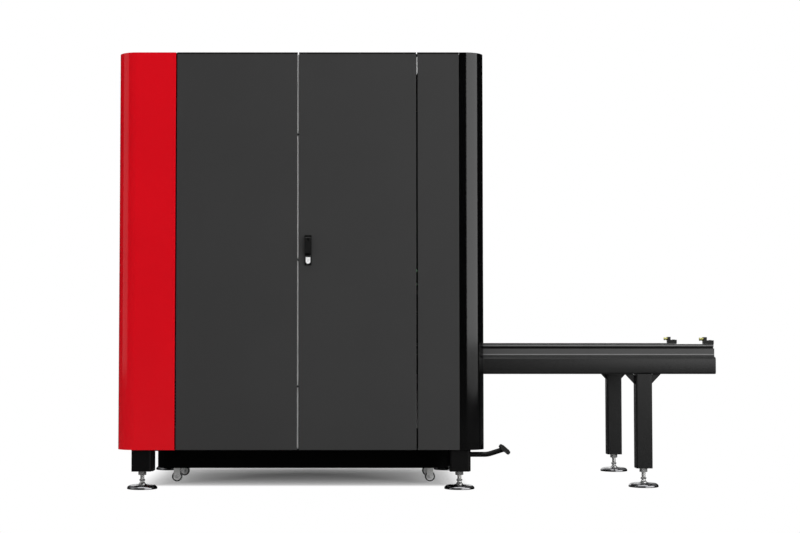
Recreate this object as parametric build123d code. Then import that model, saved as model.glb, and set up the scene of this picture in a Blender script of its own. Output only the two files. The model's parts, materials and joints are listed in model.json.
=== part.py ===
from build123d import *
import os

# Overall sizes of the machine
cab_length = 1680
cab_width = 1180
cab_height = 2000
stand_length = 1080
spigot_reach = 45
panel_bottom = 180
corner_radius = 85
sheet = 2
panel_depth = 25
overrun = 6
slide_gap = 0.3
run_gap = 0.05

# Seams on the long sides, as panel widths from the rear end
rear_cover_width = 269
left_leaf_width = 559
column_width = 115
strip_width = 194
hinge_gap = 5
middle_gap = 6
leaf_edge_radius = 2.5

# Frame tubes
post = 90
post_inset_x = 114
post_inset_y = 61
tube_radius = 8
low_beam = 80
jamb = 40
jamb_inset = 15
mid_post_x = 60
mid_post_y = 100
mid_post_back = 32
frame_drop = 60
top_beam = 60
table_beam_width = 70
table_beam_height = 80
table_beam_bottom = 522
rail_inset = 155
rack_beam = 40
rack_beam_inset = 60
rack_air = 22
gantry_rise = 100
side_beam_width = 60
chamber_post = 60
chamber_start = 36

# Levelling feet
foot_height = 81
leg_foot_height = 87
pad_radius = 69
pad_edge = 7
pad_crown = 22
pad_boss_radius = 18
stud_radius = 10
stud_sink = 25
stud_base = 12
nut_flats = 32
nut_height = 16
collar_flats = 24
collar_height = 9
collar_gap = 4

# Skin panels
rear_open_inset = 160
front_open_inset = 110
seat_flange = 40
rear_seat_flange = 30
rear_panel_gap = 3
roof_drop = 8
roof_inset_x = 28
roof_corner = 70
seat_gap = 0.3
louvre_count = 10
louvre_width = 420
louvre_slot = 9
louvre_pitch = 26
louvre_low = 560
louvre_drop = 500
far_gap = 4

# Duct spigot at the rear
spigot_radius = 100
spigot_wall = 2
spigot_flange_radius = 124
spigot_flange = 3
spigot_level = 320
spigot_inset = 180

# Front face levels
beam_slot_side = 4
beam_slot_drop = 6
front_gap = 6
apron_rise = 5
apron_height = 146
apron_side_gap = 4
header_height = 214
control_width = 276
control_gap = 4

# Hinges
hinge_inset = 14
hinge_depth = 9
barrel_radius = 6
barrel_length = 72
pin_radius = 3.5
arm_half = 2
leaf_plate = 3
leaf_reach = 29
leaf_seat = 45
lug_half = 8
lug_height = 12
lug_gap = 0.5
notch_gap = 3
hinge_end = 62

# Three-point lock of the right leaf
handle_x = 43
plate_width = 30
plate_bottom = 1021
plate_height = 137
plate_thick = 5
shaft_drop = 14
shaft_radius = 8
hub_radius = 12
hub_thick = 5
hub_gap = 0.4
ear_width = 9
pivot_stand = 7
pivot_radius = 2.5
lever_width = 26
lever_thick = 10
lever_length = 68
lever_side_gap = 0.4
cylinder_width = 21
cylinder_height = 38
cylinder_stand = 8
cylinder_drop = 7
bar_width = 18
bar_thick = 4
bar_gap = 0.5
bar_depth = 4
bar_low_gap = 252
bar_high_gap = 344
lock_rise = 23
tongue_inset = 35
tongue_thick = 5
tongue_reach = 4.5
tongue_depth = 8
bar_stroke = 22
bar_slot_gap = 3
drive_radius = 16
drive_thick = 4
drive_depth = 14
rack_gap = 1

# Light strip behind the middle seam
strip_nose = 4
strip_nose_depth = 13
strip_base = 40
strip_base_thick = 2
strip_end_gap = 6

# Front door window and grip
window_side = 105
window_foot = 226
window_head = 170
window_radius = 30
window_frame = 22
window_thick = 6
grip_length = 300
grip_radius = 9
grip_stand = 38
grip_inset = 50
grip_foot = 12

# Operator panel
screen_width = 200
screen_height = 280
screen_thick = 14
screen_radius = 12
screen_rise = 280
button_level = 1200
button_spacing = 62
button_radius = 14
button_stem = 10
button_rise = 9
button_lift = 5
button_tail = 16
stop_radius = 21
stop_rise = 16
stop_fall = 140

# Table and its rails
rail_seat_width = 52
rail_seat_height = 38
rail_neck = 14
rail_neck_height = 9
rail_head = 26
rail_head_height = 12
rail_setback = 6
table_rear_gap = 12
frame_bar = 50
frame_rise = 29
frame_height = 60
frame_cross = 40
ledge = 16
ledge_height = 6
ledge_drop = 20
slat_count = 16
slat_thick = 3
slat_place_shares = (0.06, 0.95)
slat_teeth = 14
slat_height = 60
tooth_height = 18
slat_end_gap = 2
carriage_length = 90
carriage_width = 46
carriage_hang = 11
carriage_inset = 70
pull_length = 220
pull_bar = 14
pull_stand = 30
pull_offset = 120

# Stand in front of the cabinet
leg = 75
leg_x = 746
leg_radius = 7
gusset_length = 46
gusset_height = 49
gusset_thick = 10
gusset_notch = 9
tie_width = 70
stop_base_length = 46
stop_base_height = 17
stop_upright = 14
stop_height = 32
stop_width = 36
bolt_radius = 5
bolt_poke = 18
bolt_rise = 22
bolt_head_flats = 15
bolt_head = 6
lock_nut = 7

# Gantry, carriage and head
gantry_rest = 330
gantry_rail = 20
gantry_half = 60
gantry_height = 140
gantry_side_gap = 7
block_width = 54
block_length = 70
block_height = 32
block_low = 4
block_spread = 42
head_rail = 16
head_rail_deep = 12
head_rail_shares = (0.2, 0.78)
plate_half = 70
carriage_plate = 14
carriage_air = 8
carriage_grip = 3
z_box_half = 50
z_box_deep = 50
z_box_rise = 4
z_box_height = 250
motor_side = 60
motor_height = 90
z_slide_thick = 12
z_slide_half = 40
z_slide_rise = 30
z_slide_height = 130
head_axis_out = 40
nozzle_gap = 10
nozzle_tip_radius = 3
nozzle_radius = 14
nozzle_height = 30
sensor_radius = 22
sensor_height = 32
lens_side = 58
lens_height = 68
body_radius = 31
body_height = 110
optic_side = 68
optic_height = 70
plug_radius = 14
plug_height = 70

# Cooler, laser source and control gear behind the left leaf
floor_thick = 3
floor_inset = 70
bay_rear = 96
unit_inset = 110
unit_depth = 740
chiller_height = 250
laser_height = 190
unit_radius = 4
plate_inset = 340
gear_plate_rear = 50
gear_plate_front = 90
gear_plate_drop = 40
gear_flange = 60
drive_count = 4
drive_width = 68
drive_pitch = 96
drive_height = 230
drive_deep = 160
drive_level_share = 0.487
breaker_count = 9
breaker_width = 36
breaker_pitch = 46
breaker_height = 86
breaker_deep = 72
breaker_level_share = 0.813
controller_width = 330
controller_height = 190
controller_deep = 90
controller_level_share = 0.142

# Slag chute plates
chute_flange = 60
chute_in = 150
chute_rise = 20
chute_rear_gap = 4
chute_front_gap = 8

# Slag cart
cart_end = 150
cart_side = 290
cart_height = 95
cart_gap = 10
cart_corner = 60
cart_wall = 2
wheel_radius = 25
wheel_width = 20
wheel_inset_x = 83
wheel_inset_y = 135
axle_radius = 4
fork_cheek = 3
fork_half = 15
fork_gap = 1
fork_plate = 3
fork_plate_half = 30
fork_axle_round = 11
cart_grip_half = 90
cart_grip_bar = 10
cart_grip_reach = 34
cart_grip_drop = 30

# Foot pedal
pedal_inset = 135
pedal_forward = 19
pedal_drop = 29
pedal_tube = 11
pedal_flat_end = 22
pedal_rise_x = 98
pedal_rise = 24
pedal_boss = 15
pedal_boss_half = 12
pedal_pin = 5
pedal_pad_length = 52
pedal_pad_width = 90
pedal_pad_thick = 20
pedal_pad_round = 8
pedal_pad_tilt = 41
pedal_pad_x = 100
pedal_pad_rise = 23
clevis_cheek = 4
clevis_gap = 0.5
clevis_half = 16
clevis_drop = 46

# Places that follow from the sizes
overall = spigot_reach + cab_length + stand_length
cab_rear = spigot_reach - overall / 2
cab_front = cab_rear + cab_length
cab_mid = cab_rear + cab_length / 2
stand_end = cab_front + stand_length
half_w = cab_width / 2
rear_seam = cab_rear + rear_cover_width
middle_seam = rear_seam + left_leaf_width
column_seam = cab_front - column_width
front_seam = column_seam - strip_width
left_edge = rear_seam + hinge_gap / 2
left_free = middle_seam - middle_gap / 2
right_free = middle_seam + middle_gap / 2
right_edge = front_seam - hinge_gap / 2
post_rear_x = cab_rear + post_inset_x
post_front_x = cab_front - post_inset_x
post_y = half_w - post_inset_y
post_in = post_y - post / 2
post_out = post_y + post / 2
low_top = panel_bottom + low_beam
jamb_out = half_w - panel_depth
jamb_in = jamb_out - jamb
mid_out = half_w - mid_post_back
mid_in = mid_out - mid_post_y
mid_rear = middle_seam - mid_post_x / 2
mid_front = middle_seam + mid_post_x / 2
frame_top = cab_height - frame_drop
post_top = frame_top - top_beam
rail_offset = half_w - rail_inset
rail_low = rail_offset - table_beam_width / 2
rail_high = rail_offset + table_beam_width / 2
table_beam_top = table_beam_bottom + table_beam_height
chamber_rear = middle_seam + chamber_start
chamber_in = chamber_rear + chamber_post
side_beam_out = mid_out - rack_beam
side_beam_in = side_beam_out - side_beam_width
rack_out = half_w - rack_beam_inset
unit_low = low_top + floor_thick
rack_level = unit_low + chiller_height + laser_height + rack_air + rack_beam
gear_foot = rack_level + floor_thick
gear_plate_top = post_top - gear_plate_drop
floor_half = half_w - floor_inset
unit_near = half_w - unit_inset
plate_near = half_w - plate_inset
rear_open_half = half_w - rear_open_inset
front_open_half = half_w - front_open_inset
control_edge = front_open_half - control_width
front_door_edge = control_edge - control_gap
spigot_offset = spigot_inset - rear_open_half
rail_seat_top = table_beam_top + rail_seat_height
rail_neck_top = rail_seat_top + rail_neck_height
rail_top = rail_neck_top + rail_head_height
lower_panel_top = rail_top + apron_rise
apron_bottom = lower_panel_top + front_gap
apron_top = apron_bottom + apron_height
door_bottom = apron_top + front_gap
header_bottom = cab_height - header_height
door_top = header_bottom - front_gap
window_low = door_bottom + window_foot
window_high = door_top - window_head
window_level = (window_low + window_high) / 2
window_width = front_door_edge + front_open_half - 2 * window_side
screen_level = button_level + screen_rise
frame_bottom = rail_top + frame_rise
slat_low = frame_bottom + frame_height - ledge_drop
slat_top = slat_low + slat_height
bolt_level = rail_top + bolt_rise
gantry_beam_level = slat_top + gantry_rise
gantry_low = gantry_beam_level + block_low + block_height
z_box_bottom = gantry_low + z_box_rise
z_box_top = z_box_bottom + z_box_height
nozzle_tip = slat_top + nozzle_gap
nozzle_top = nozzle_tip + nozzle_height
sensor_top = nozzle_top + sensor_height
lens_top = sensor_top + lens_height
body_top = lens_top + body_height
optic_top = body_top + optic_height
plug_top = optic_top + plug_height
plate_top = plate_bottom + plate_height
shaft_level = plate_top - shaft_drop
lock_level = plate_bottom + lock_rise
bar_low = panel_bottom + bar_low_gap
bar_high = cab_height - bar_high_gap
cart_half_length = cab_length / 2 - cart_end
cart_half_width = half_w - cart_side
cart_top = panel_bottom - cart_gap
cart_bottom = cart_top - cart_height
wheel_x = cart_half_length - wheel_inset_x
wheel_y = cart_half_width - wheel_inset_y
pedal_x = post_front_x + pedal_forward
pedal_y = half_w - pedal_inset
pedal_level = panel_bottom - pedal_drop
hinge_levels = (panel_bottom + hinge_end, (panel_bottom + cab_height) / 2, cab_height - hinge_end)
front_hinge_levels = (door_bottom + hinge_end, door_top - hinge_end)
front_axis = -(front_open_half - hinge_gap - hinge_inset)
arm_depth = mid_post_back - hinge_depth


def block(x0, x1, y0, y1, z0, z1):
    return Pos((x0 + x1) / 2, (y0 + y1) / 2, (z0 + z1) / 2) * Box(x1 - x0, y1 - y0, z1 - z0)


def rod_z(radius, x, y, z0, z1):
    return Pos(x, y, (z0 + z1) / 2) * Cylinder(radius, z1 - z0)


def rod_y(radius, x, y0, y1, z):
    return Pos(x, (y0 + y1) / 2, z) * Rot(90, 0, 0) * Cylinder(radius, y1 - y0)


def rod_x(radius, x0, x1, y, z):
    return Pos((x0 + x1) / 2, y, z) * Rot(0, 90, 0) * Cylinder(radius, x1 - x0)


def other_side(shape):
    return mirror(shape, about=Plane.XZ)


def both(shape):
    return [shape, other_side(shape)]


def on_near(shape):
    return Pos(0, -half_w, 0) * shape


def on_front(shape):
    return Pos(cab_front, 0, 0) * Rot(0, 0, 90) * shape


def on_rear(shape):
    return Pos(cab_rear, 0, 0) * Rot(0, 0, -90) * shape


def tube_along(shape, axis, radius):
    return fillet(shape.edges().filter_by(axis), radius)


def hexagon(flats):
    return RegularPolygon(flats / 2, 6, major_radius=False)


def save(name, *solids):
    os.makedirs("parts", exist_ok=True)
    loose = []
    for shape in solids:
        loose.extend(shape.solids())
    export_step(Compound(children=loose), "parts/" + name + ".step")


# Welded base frame of square tubes
def frame_post(x):
    tube = block(x - post / 2, x + post / 2, -post_out, -post_in, foot_height, post_top)
    tube = tube_along(tube, Axis.Z, tube_radius)
    return tube - rod_z(stud_radius + slide_gap, x, -post_y, foot_height - overrun, foot_height + stud_sink)


def frame_side():
    inner_rear = post_rear_x + post / 2
    inner_front = post_front_x - post / 2
    low = (-mid_out, -mid_out + low_beam)
    pieces = [frame_post(post_rear_x), frame_post(post_front_x)]
    pieces.append(block(inner_rear, inner_front, *low, panel_bottom, low_top))
    pieces.append(block(mid_rear, mid_front, -mid_out, -mid_in, low_top, post_top))
    for edge, way in ((left_edge, -1), (right_edge, 1)):
        ends = sorted((edge + way * jamb_inset, edge + way * (jamb_inset + jamb)))
        pieces.append(block(*ends, -jamb_out, -jamb_in, low_top, post_top))
    top = (-mid_out, -mid_out + top_beam)
    pieces.append(block(post_rear_x - post / 2, post_front_x + post / 2, *top, post_top, frame_top))
    rack = (-rack_out, -rack_out + rack_beam, rack_level - rack_beam, rack_level)
    pieces.append(block(inner_rear, mid_rear, *rack))
    side = (-side_beam_out, -side_beam_in, gantry_beam_level - low_beam, gantry_beam_level)
    pieces.append(block(mid_front, inner_front, *side))
    pieces.append(block(chamber_rear, cab_front, -rail_high, -rail_low, table_beam_bottom, table_beam_top))
    foot_y = (-rail_offset - chamber_post / 2, -rail_offset + chamber_post / 2)
    pieces.append(block(chamber_rear, chamber_in, *foot_y, low_top, table_beam_bottom))
    return pieces


def frame_cross_beams():
    reach = mid_out - low_beam
    half = low_beam / 2
    top_in = mid_out - top_beam
    pieces = []
    for x in (post_rear_x, post_front_x):
        pieces.append(block(x - half, x + half, -post_in, post_in, panel_bottom, low_top))
        pieces.append(block(x - top_beam / 2, x + top_beam / 2, -top_in, top_in, post_top, frame_top))
    pieces.append(block(chamber_rear, chamber_in, -reach, reach, panel_bottom, low_top))
    x = post_front_x
    z = table_beam_bottom
    pieces.append(block(x - chamber_post / 2, x + chamber_post / 2, -post_in, post_in, z - low_beam, z))
    return pieces


def pedal_clevis():
    x = pedal_x
    pieces = []
    inner = pedal_boss_half + clevis_gap
    for way in (-1, 1):
        ends = sorted((-pedal_y + way * inner, -pedal_y + way * (inner + clevis_cheek)))
        levels = (panel_bottom - clevis_drop, panel_bottom)
        pieces.append(block(x - clevis_half, x + clevis_half, *ends, *levels))
    outer = inner + clevis_cheek
    pin = rod_y(pedal_pin, x, -pedal_y - outer, -pedal_y + outer, pedal_level)
    return pieces[0] + pieces[1] + pin


def base_frame():
    near = frame_side()
    pieces = list(near)
    for piece in near:
        pieces.append(other_side(piece))
    return pieces + frame_cross_beams() + [pedal_clevis()]


# Levelling feet under the posts and under the stand legs
def foot_places():
    places = []
    for x in (post_rear_x, post_front_x):
        places.append((x, -post_y, foot_height))
        places.append((x, post_y, foot_height))
    places.append((cab_front + leg_x, -rail_offset, leg_foot_height))
    places.append((cab_front + leg_x, rail_offset, leg_foot_height))
    return places


def foot_pad():
    points = [(0, 0), (pad_radius, 0), (pad_radius, pad_edge)]
    rim = Polyline((stud_radius, stud_base), (0, stud_base), *points)
    dome = Spline((pad_radius, pad_edge), (pad_boss_radius, pad_crown), tangents=((-1, 1), (-1, 0)))
    bore = stud_radius + slide_gap
    brim = [(pad_boss_radius, pad_crown), (bore, pad_crown)]
    lip = Polyline(*brim, (bore, stud_base), (stud_radius, stud_base))
    return revolve(Plane.XZ * make_face([rim, dome, lip]), Axis.Z)


def foot_screw(top):
    stud = rod_z(stud_radius, 0, 0, stud_base, top + stud_sink - overrun)
    nut = Pos(0, 0, top - nut_height) * extrude(hexagon(nut_flats), nut_height)
    collar = Pos(0, 0, pad_crown + collar_gap) * extrude(hexagon(collar_flats), collar_height)
    return stud + nut + collar


# Rounded outer skin, cut into corner covers
def skin_ring():
    height = cab_height - panel_bottom
    outline = RectangleRounded(cab_length, cab_width, corner_radius)
    hollow = RectangleRounded(cab_length - 2 * sheet, cab_width - 2 * sheet, corner_radius - sheet)
    return Pos(cab_mid, 0, panel_bottom) * extrude(outline - hollow, height)


def rear_cover(ring):
    edge = rear_seam - hinge_gap / 2
    levels = (panel_bottom, cab_height)
    region = block(cab_rear - overrun, edge, -half_w - overrun, -rear_open_half, *levels)
    fold = block(edge - sheet, edge, -half_w + sheet, -jamb_out, *levels)
    seat = block(edge - seat_flange, edge - sheet, -jamb_out - sheet, -jamb_out, *levels)
    x = cab_rear + panel_depth
    lip = block(cab_rear + sheet, x, -rear_open_half - sheet, -rear_open_half, *levels)
    rest = block(x - sheet, x, -rear_open_half, -rear_open_half + rear_seat_flange, *levels)
    return (ring & region) + fold + seat + lip + rest


def front_column(ring):
    edge = column_seam + seat_gap
    levels = (panel_bottom, cab_height)
    region = block(edge, cab_front + overrun, -half_w - overrun, -front_open_half, *levels)
    fold = block(edge, edge + sheet, -half_w + sheet, -post_out, *levels)
    x = cab_front - panel_depth
    lip = block(x, cab_front - sheet, -front_open_half - sheet, -front_open_half, *levels)
    return (ring & region) + fold + lip


def tray(x0, x1, z0, z1, depth):
    shell = block(x0, x1, 0, depth, z0, z1)
    shell = fillet(shell.faces().sort_by(Axis.Y)[0].edges(), leaf_edge_radius)
    return shell - block(x0 + sheet, x1 - sheet, sheet, depth + overrun, z0 + sheet, z1 - sheet)


def side_strip():
    depth = half_w - post_out
    return on_near(tray(front_seam + hinge_gap / 2, column_seam - seat_gap, panel_bottom, cab_height, depth))


def far_panels():
    gap = far_gap / 2
    rear = tray(rear_seam, middle_seam - gap, panel_bottom, cab_height, mid_post_back)
    front = tray(middle_seam + gap, front_seam - gap, panel_bottom, cab_height, mid_post_back)
    return [other_side(on_near(rear)), other_side(on_near(front)), other_side(side_strip())]


def roof_panel():
    outline = RectangleRounded(cab_length - 2 * roof_inset_x, cab_width - 2 * mid_post_back, roof_corner)
    hollow = RectangleRounded(cab_length - 2 * roof_inset_x - 2 * sheet,
                              cab_width - 2 * mid_post_back - 2 * sheet, roof_corner - sheet)
    height = cab_height - roof_drop - frame_top
    shell = extrude(outline, height) - extrude(hollow, height - sheet)
    return Pos(cab_mid, 0, frame_top) * shell


def rear_panel():
    half = rear_open_half - rear_panel_gap
    body = tray(-half, half, panel_bottom, cab_height, panel_depth - sheet)
    for level in (louvre_low, cab_height - louvre_drop):
        for row in range(louvre_count):
            z = level + row * louvre_pitch
            body -= block(-louvre_width / 2, louvre_width / 2, -overrun, sheet + overrun, z, z + louvre_slot)
    body -= rod_y(spigot_radius - spigot_wall, spigot_offset, -overrun, sheet + overrun, spigot_level)
    return on_rear(body)


def duct_spigot():
    bore = spigot_radius - spigot_wall
    tube = rod_y(spigot_radius, spigot_offset, -spigot_reach, 0, spigot_level)
    tube += rod_y(spigot_flange_radius, spigot_offset, -spigot_flange, 0, spigot_level)
    return on_rear(tube - rod_y(bore, spigot_offset, -spigot_reach - overrun, overrun, spigot_level))


# Front face
def lower_panel():
    half = front_open_half - seat_gap
    body = tray(-half, half, panel_bottom, lower_panel_top, panel_depth)
    slot_in = rail_low - beam_slot_side
    for way in (-1, 1):
        ends = sorted((way * slot_in, way * (half + overrun)))
        body -= block(*ends, -overrun, panel_depth + overrun, table_beam_bottom - beam_slot_drop,
                      lower_panel_top + overrun)
    return on_front(body)


def fascia_tray(points):
    outline = make_face(Polyline(*points, close=True))
    shell = extrude(Plane.XZ * outline, -panel_depth)
    shell = fillet(shell.faces().sort_by(Axis.Y)[0].edges(), leaf_edge_radius)
    inside = offset(outline, -sheet, kind=Kind.INTERSECTION)
    return shell - Pos(0, sheet, 0) * extrude(Plane.XZ * inside, -panel_depth)


def front_fascia():
    half = front_open_half - seat_gap
    points = [(-half, cab_height), (-half, header_bottom), (control_edge, header_bottom),
              (control_edge, door_bottom), (half, door_bottom), (half, cab_height)]
    body = fascia_tray(points)
    for x, z, radius, rise, stem in button_table():
        body -= rod_y(stem + run_gap, x, -overrun, sheet + overrun, z)
    return on_front(body)


def panel_middle():
    return (control_edge + front_open_half) / 2


def button_table():
    x = panel_middle()
    start = (x - button_spacing / 2, button_level, button_radius, button_rise, button_stem)
    halt = (x + button_spacing / 2, button_level, button_radius, button_rise, button_stem)
    emergency = (x, button_level - stop_fall, stop_radius, stop_rise, button_stem)
    return (start, halt, emergency)


def button(x, z, radius, rise, stem):
    head = rod_y(radius, x, -button_lift - rise, -button_lift, z)
    head = chamfer(head.faces().sort_by(Axis.Y)[0].edges(), button_lift / 2)
    return on_front(head + rod_y(stem, x, -button_lift, button_tail, z))


def screen():
    half_x = screen_width / 2
    half_z = screen_height / 2
    x = panel_middle()
    body = block(x - half_x, x + half_x, -screen_thick, 0, screen_level - half_z, screen_level + half_z)
    return on_front(tube_along(body, Axis.Y, screen_radius))


# Doors with welded hinge lugs and pins
def hinge_bracket(level, seat):
    low = level - barrel_length / 2
    high = level + barrel_length / 2
    body = rod_z(barrel_radius, 0, 0, low, high)
    body += block(-arm_half, arm_half, 0, arm_depth, low, high)
    body += block(-arm_half, leaf_reach, arm_depth - leaf_plate, arm_depth, low, high)
    body += block(leaf_reach - leaf_plate, leaf_reach, arm_depth - leaf_plate, seat, low, high)
    return body - rod_z(pin_radius + run_gap, 0, 0, low - overrun, high + overrun)


def hinge_lugs(level):
    half = barrel_length / 2 + lug_gap
    body = rod_z(pin_radius, 0, 0, level - half - lug_height, level + half + lug_height)
    for way in (-1, 1):
        ends = sorted((level + way * half, level + way * (half + lug_height)))
        body += block(-lug_half, lug_half, sheet - hinge_depth, lug_half, *ends)
    return body


def leaf(x0, x1, z0, z1, axis_x, levels):
    body = tray(x0, x1, z0, z1, panel_depth)
    edge = x1 if axis_x > (x0 + x1) / 2 else x0
    way = 1 if edge == x1 else -1
    notch = barrel_length / 2 + notch_gap
    for level in levels:
        ends = sorted((edge - way * sheet - way * slide_gap, edge + way * overrun))
        body -= block(*ends, sheet + slide_gap, panel_depth + overrun, level - notch, level + notch)
        body += Pos(axis_x, hinge_depth, 0) * hinge_lugs(level)
    return body


def left_door():
    axis_x = left_edge + hinge_inset
    return on_near(leaf(left_edge, left_free, panel_bottom, cab_height, axis_x, hinge_levels))


def right_door():
    body = leaf(right_free, right_edge, panel_bottom, cab_height, right_edge - hinge_inset, hinge_levels)
    body -= rod_y(shaft_radius + run_gap, right_free + handle_x, -overrun, sheet + overrun, shaft_level)
    for level in tongue_levels():
        low = level - tongue_thick / 2 - bar_slot_gap
        high = level + tongue_thick / 2 + bar_stroke + bar_slot_gap
        near = sheet + slide_gap
        far = bar_depth + tongue_depth + bar_slot_gap
        body -= block(right_free - overrun, right_free + near, near, far, low, high)
    return on_near(body)


def side_hinges():
    right = []
    left = []
    for z, seat in zip(hinge_levels, (arm_depth, leaf_seat, arm_depth)):
        bracket = hinge_bracket(z, seat)
        right.append(on_near(Pos(right_edge - hinge_inset, hinge_depth, 0) * bracket))
        flipped = mirror(bracket, about=Plane.YZ)
        left.append(on_near(Pos(left_edge + hinge_inset, hinge_depth, 0) * flipped))
    return right, left


def front_hinges():
    seat = cab_front - post_front_x - post / 2 - hinge_depth
    pieces = []
    for z in front_hinge_levels:
        flipped = mirror(hinge_bracket(z, seat), about=Plane.YZ)
        pieces.append(on_front(Pos(front_axis, hinge_depth, 0) * flipped))
    return pieces


def window_middle():
    return (front_door_edge - front_open_half) / 2


def front_door():
    x0 = hinge_gap - front_open_half
    body = leaf(x0, front_door_edge, door_bottom, door_top, front_axis, front_hinge_levels)
    x = window_middle()
    half_x = window_width / 2 - window_frame
    levels = (window_low + window_frame, window_high - window_frame)
    hole = block(x - half_x, x + half_x, -overrun, sheet + overrun, *levels)
    return on_front(body - tube_along(hole, Axis.Y, window_radius))


def front_window():
    x = window_middle()
    half_x = window_width / 2
    pane = block(x - half_x, x + half_x, sheet, sheet + window_thick, window_low, window_high)
    return on_front(tube_along(pane, Axis.Y, window_radius))


def front_grip():
    x = front_door_edge - grip_inset
    low = window_level - grip_length / 2
    high = window_level + grip_length / 2
    body = rod_z(grip_radius, x, -grip_stand, low, high)
    for z in (low + grip_foot, high - grip_foot):
        body += rod_y(grip_radius, x, -grip_stand, 0, z)
    return on_front(body)


# Lock parts on the right leaf
def tongue_levels():
    return (bar_low + tongue_inset, lock_level, bar_high - tongue_inset)


def handle_plate():
    x = right_free + handle_x
    body = block(x - plate_width / 2, x + plate_width / 2, -plate_thick, 0, plate_bottom, plate_top)
    body = tube_along(body, Axis.Y, leaf_edge_radius)
    return on_near(body - rod_y(shaft_radius + run_gap, x, -plate_thick - overrun, overrun, shaft_level))


def handle_hub():
    x = right_free + handle_x
    out = plate_thick + hub_gap
    body = rod_y(hub_radius, x, -out - hub_thick, -out, shaft_level)
    body += rod_y(shaft_radius, x, -out, drive_depth + drive_thick, shaft_level)
    body += rod_y(drive_radius, x, drive_depth, drive_depth + drive_thick, shaft_level)
    y = -out - hub_thick - pivot_stand
    reach = lever_thick / 2
    ends = (x - ear_width / 2, x + ear_width / 2)
    ear = block(*ends, y, -out - hub_thick, shaft_level - reach, shaft_level + reach)
    ear += rod_x(reach, *ends, y, shaft_level)
    pin = rod_x(pivot_radius, x - lever_width / 2, x + lever_width / 2, y, shaft_level)
    return on_near(body + ear + pin)


def handle_lever():
    x = right_free + handle_x
    half = lever_width / 2
    y = -plate_thick - hub_gap - hub_thick - pivot_stand
    thick = lever_thick / 2
    body = block(x - half, x + half, y - thick, y + thick, shaft_level - lever_length, shaft_level)
    body += rod_x(thick, x - half, x + half, y, shaft_level)
    slot = ear_width / 2 + lever_side_gap
    top = shaft_level + lever_thick
    room = lever_thick + lever_side_gap
    body -= block(x - slot, x + slot, y - lever_thick, y + lever_thick, shaft_level - room, top)
    bore = rod_x(pivot_radius + run_gap, x - half - overrun, x + half + overrun, y, shaft_level)
    return on_near(body - bore)


def lock_cylinder():
    x = right_free + handle_x
    half = cylinder_width / 2
    low = plate_bottom + cylinder_drop
    y0 = -plate_thick - cylinder_stand
    body = block(x - half, x + half, y0, -plate_thick, low + half, low + cylinder_height)
    return on_near(body + rod_y(half, x, y0, -plate_thick, low + half))


def lock_bar():
    x0 = right_free + sheet + bar_gap
    x1 = x0 + bar_thick
    y1 = bar_depth + bar_width
    body = block(x0, x1, bar_depth, y1, bar_low, bar_high)
    for level in tongue_levels():
        ends = (level - tongue_thick / 2, level + tongue_thick / 2)
        body += block(right_free - tongue_reach, x0, bar_depth, bar_depth + tongue_depth, *ends)
    rack_end = right_free + handle_x - drive_radius - rack_gap
    low = shaft_level - drive_radius - bar_stroke
    high = shaft_level + drive_radius
    body += block(x1, rack_end, drive_depth, drive_depth + drive_thick, low, high)
    return on_near(body)


def centre_strip():
    low = panel_bottom + strip_end_gap
    high = cab_height - roof_drop
    nose = half_w - strip_nose_depth
    x = middle_seam
    base = strip_base / 2
    body = block(x - base, x + base, -mid_out - strip_base_thick, -mid_out, low, post_top)
    return body + block(x - strip_nose / 2, x + strip_nose / 2, -nose, -mid_out, low, high)


# Table, its rails and its stand
def table_rail():
    half = rail_seat_width / 2
    neck = rail_neck / 2
    head = rail_head / 2
    points = [(-half, table_beam_top), (half, table_beam_top), (half, rail_seat_top), (neck, rail_seat_top),
              (neck, rail_neck_top), (head, rail_neck_top), (head, rail_top), (-head, rail_top),
              (-head, rail_neck_top), (-neck, rail_neck_top), (-neck, rail_seat_top), (-half, rail_seat_top)]
    outline = Plane.YZ * make_face(Polyline(*points, close=True))
    length = stand_end - rail_setback - chamber_rear
    return Pos(chamber_rear, -rail_offset, 0) * extrude(outline, length)


def stand_beams():
    tie = stand_end - tie_width
    beam = block(cab_front, stand_end, -rail_high, -rail_low, table_beam_bottom, table_beam_top)
    beam = tube_along(beam, Axis.X, tube_radius)
    low = table_beam_bottom
    cross = block(tie, stand_end, -rail_low, rail_low, low, table_beam_top)
    x = cab_front + leg_x
    return both(beam) + [cross, block(x - leg / 2, x + leg / 2, -rail_low, rail_low, low, table_beam_top)]


def stand_leg():
    x = cab_front + leg_x
    half = leg / 2
    top = table_beam_bottom
    tube = block(x - half, x + half, -rail_offset - half, -rail_offset + half, leg_foot_height, top)
    tube = tube_along(tube, Axis.Z, leg_radius)
    for way in (-1, 1):
        face = x + way * half
        outline = [(face + way * gusset_notch, top), (face + way * gusset_length, top),
                   (face, top - gusset_height), (face, top - gusset_notch)]
        web = extrude(Plane.XZ * make_face(Polyline(*outline, close=True)), gusset_thick / 2, both=True)
        tube += Pos(0, -rail_offset, 0) * web
    ends = (leg_foot_height - overrun, leg_foot_height + stud_sink)
    return tube - rod_z(stud_radius + slide_gap, x, -rail_offset, *ends)


def stop_bracket():
    end = stand_end - rail_setback
    start = end - stop_base_length
    y = (-rail_offset - stop_width / 2, -rail_offset + stop_width / 2)
    body = block(start, end, *y, rail_top, rail_top + stop_base_height)
    body += block(start, start + stop_upright, *y, rail_top, rail_top + stop_height)
    reach = stop_upright + overrun
    return body - rod_x(bolt_radius + slide_gap, start - overrun, start + reach, -rail_offset, bolt_level)


def stop_bolt():
    start = stand_end - rail_setback - stop_base_length
    tip = start - bolt_poke
    body = rod_x(bolt_radius, tip, start + stop_upright, -rail_offset, bolt_level)
    outline = Plane.YZ * hexagon(bolt_head_flats)
    for x, thick in ((tip, bolt_head), (start - lock_nut, lock_nut)):
        body += Pos(x, -rail_offset, bolt_level) * extrude(outline, thick)
    return body


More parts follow.
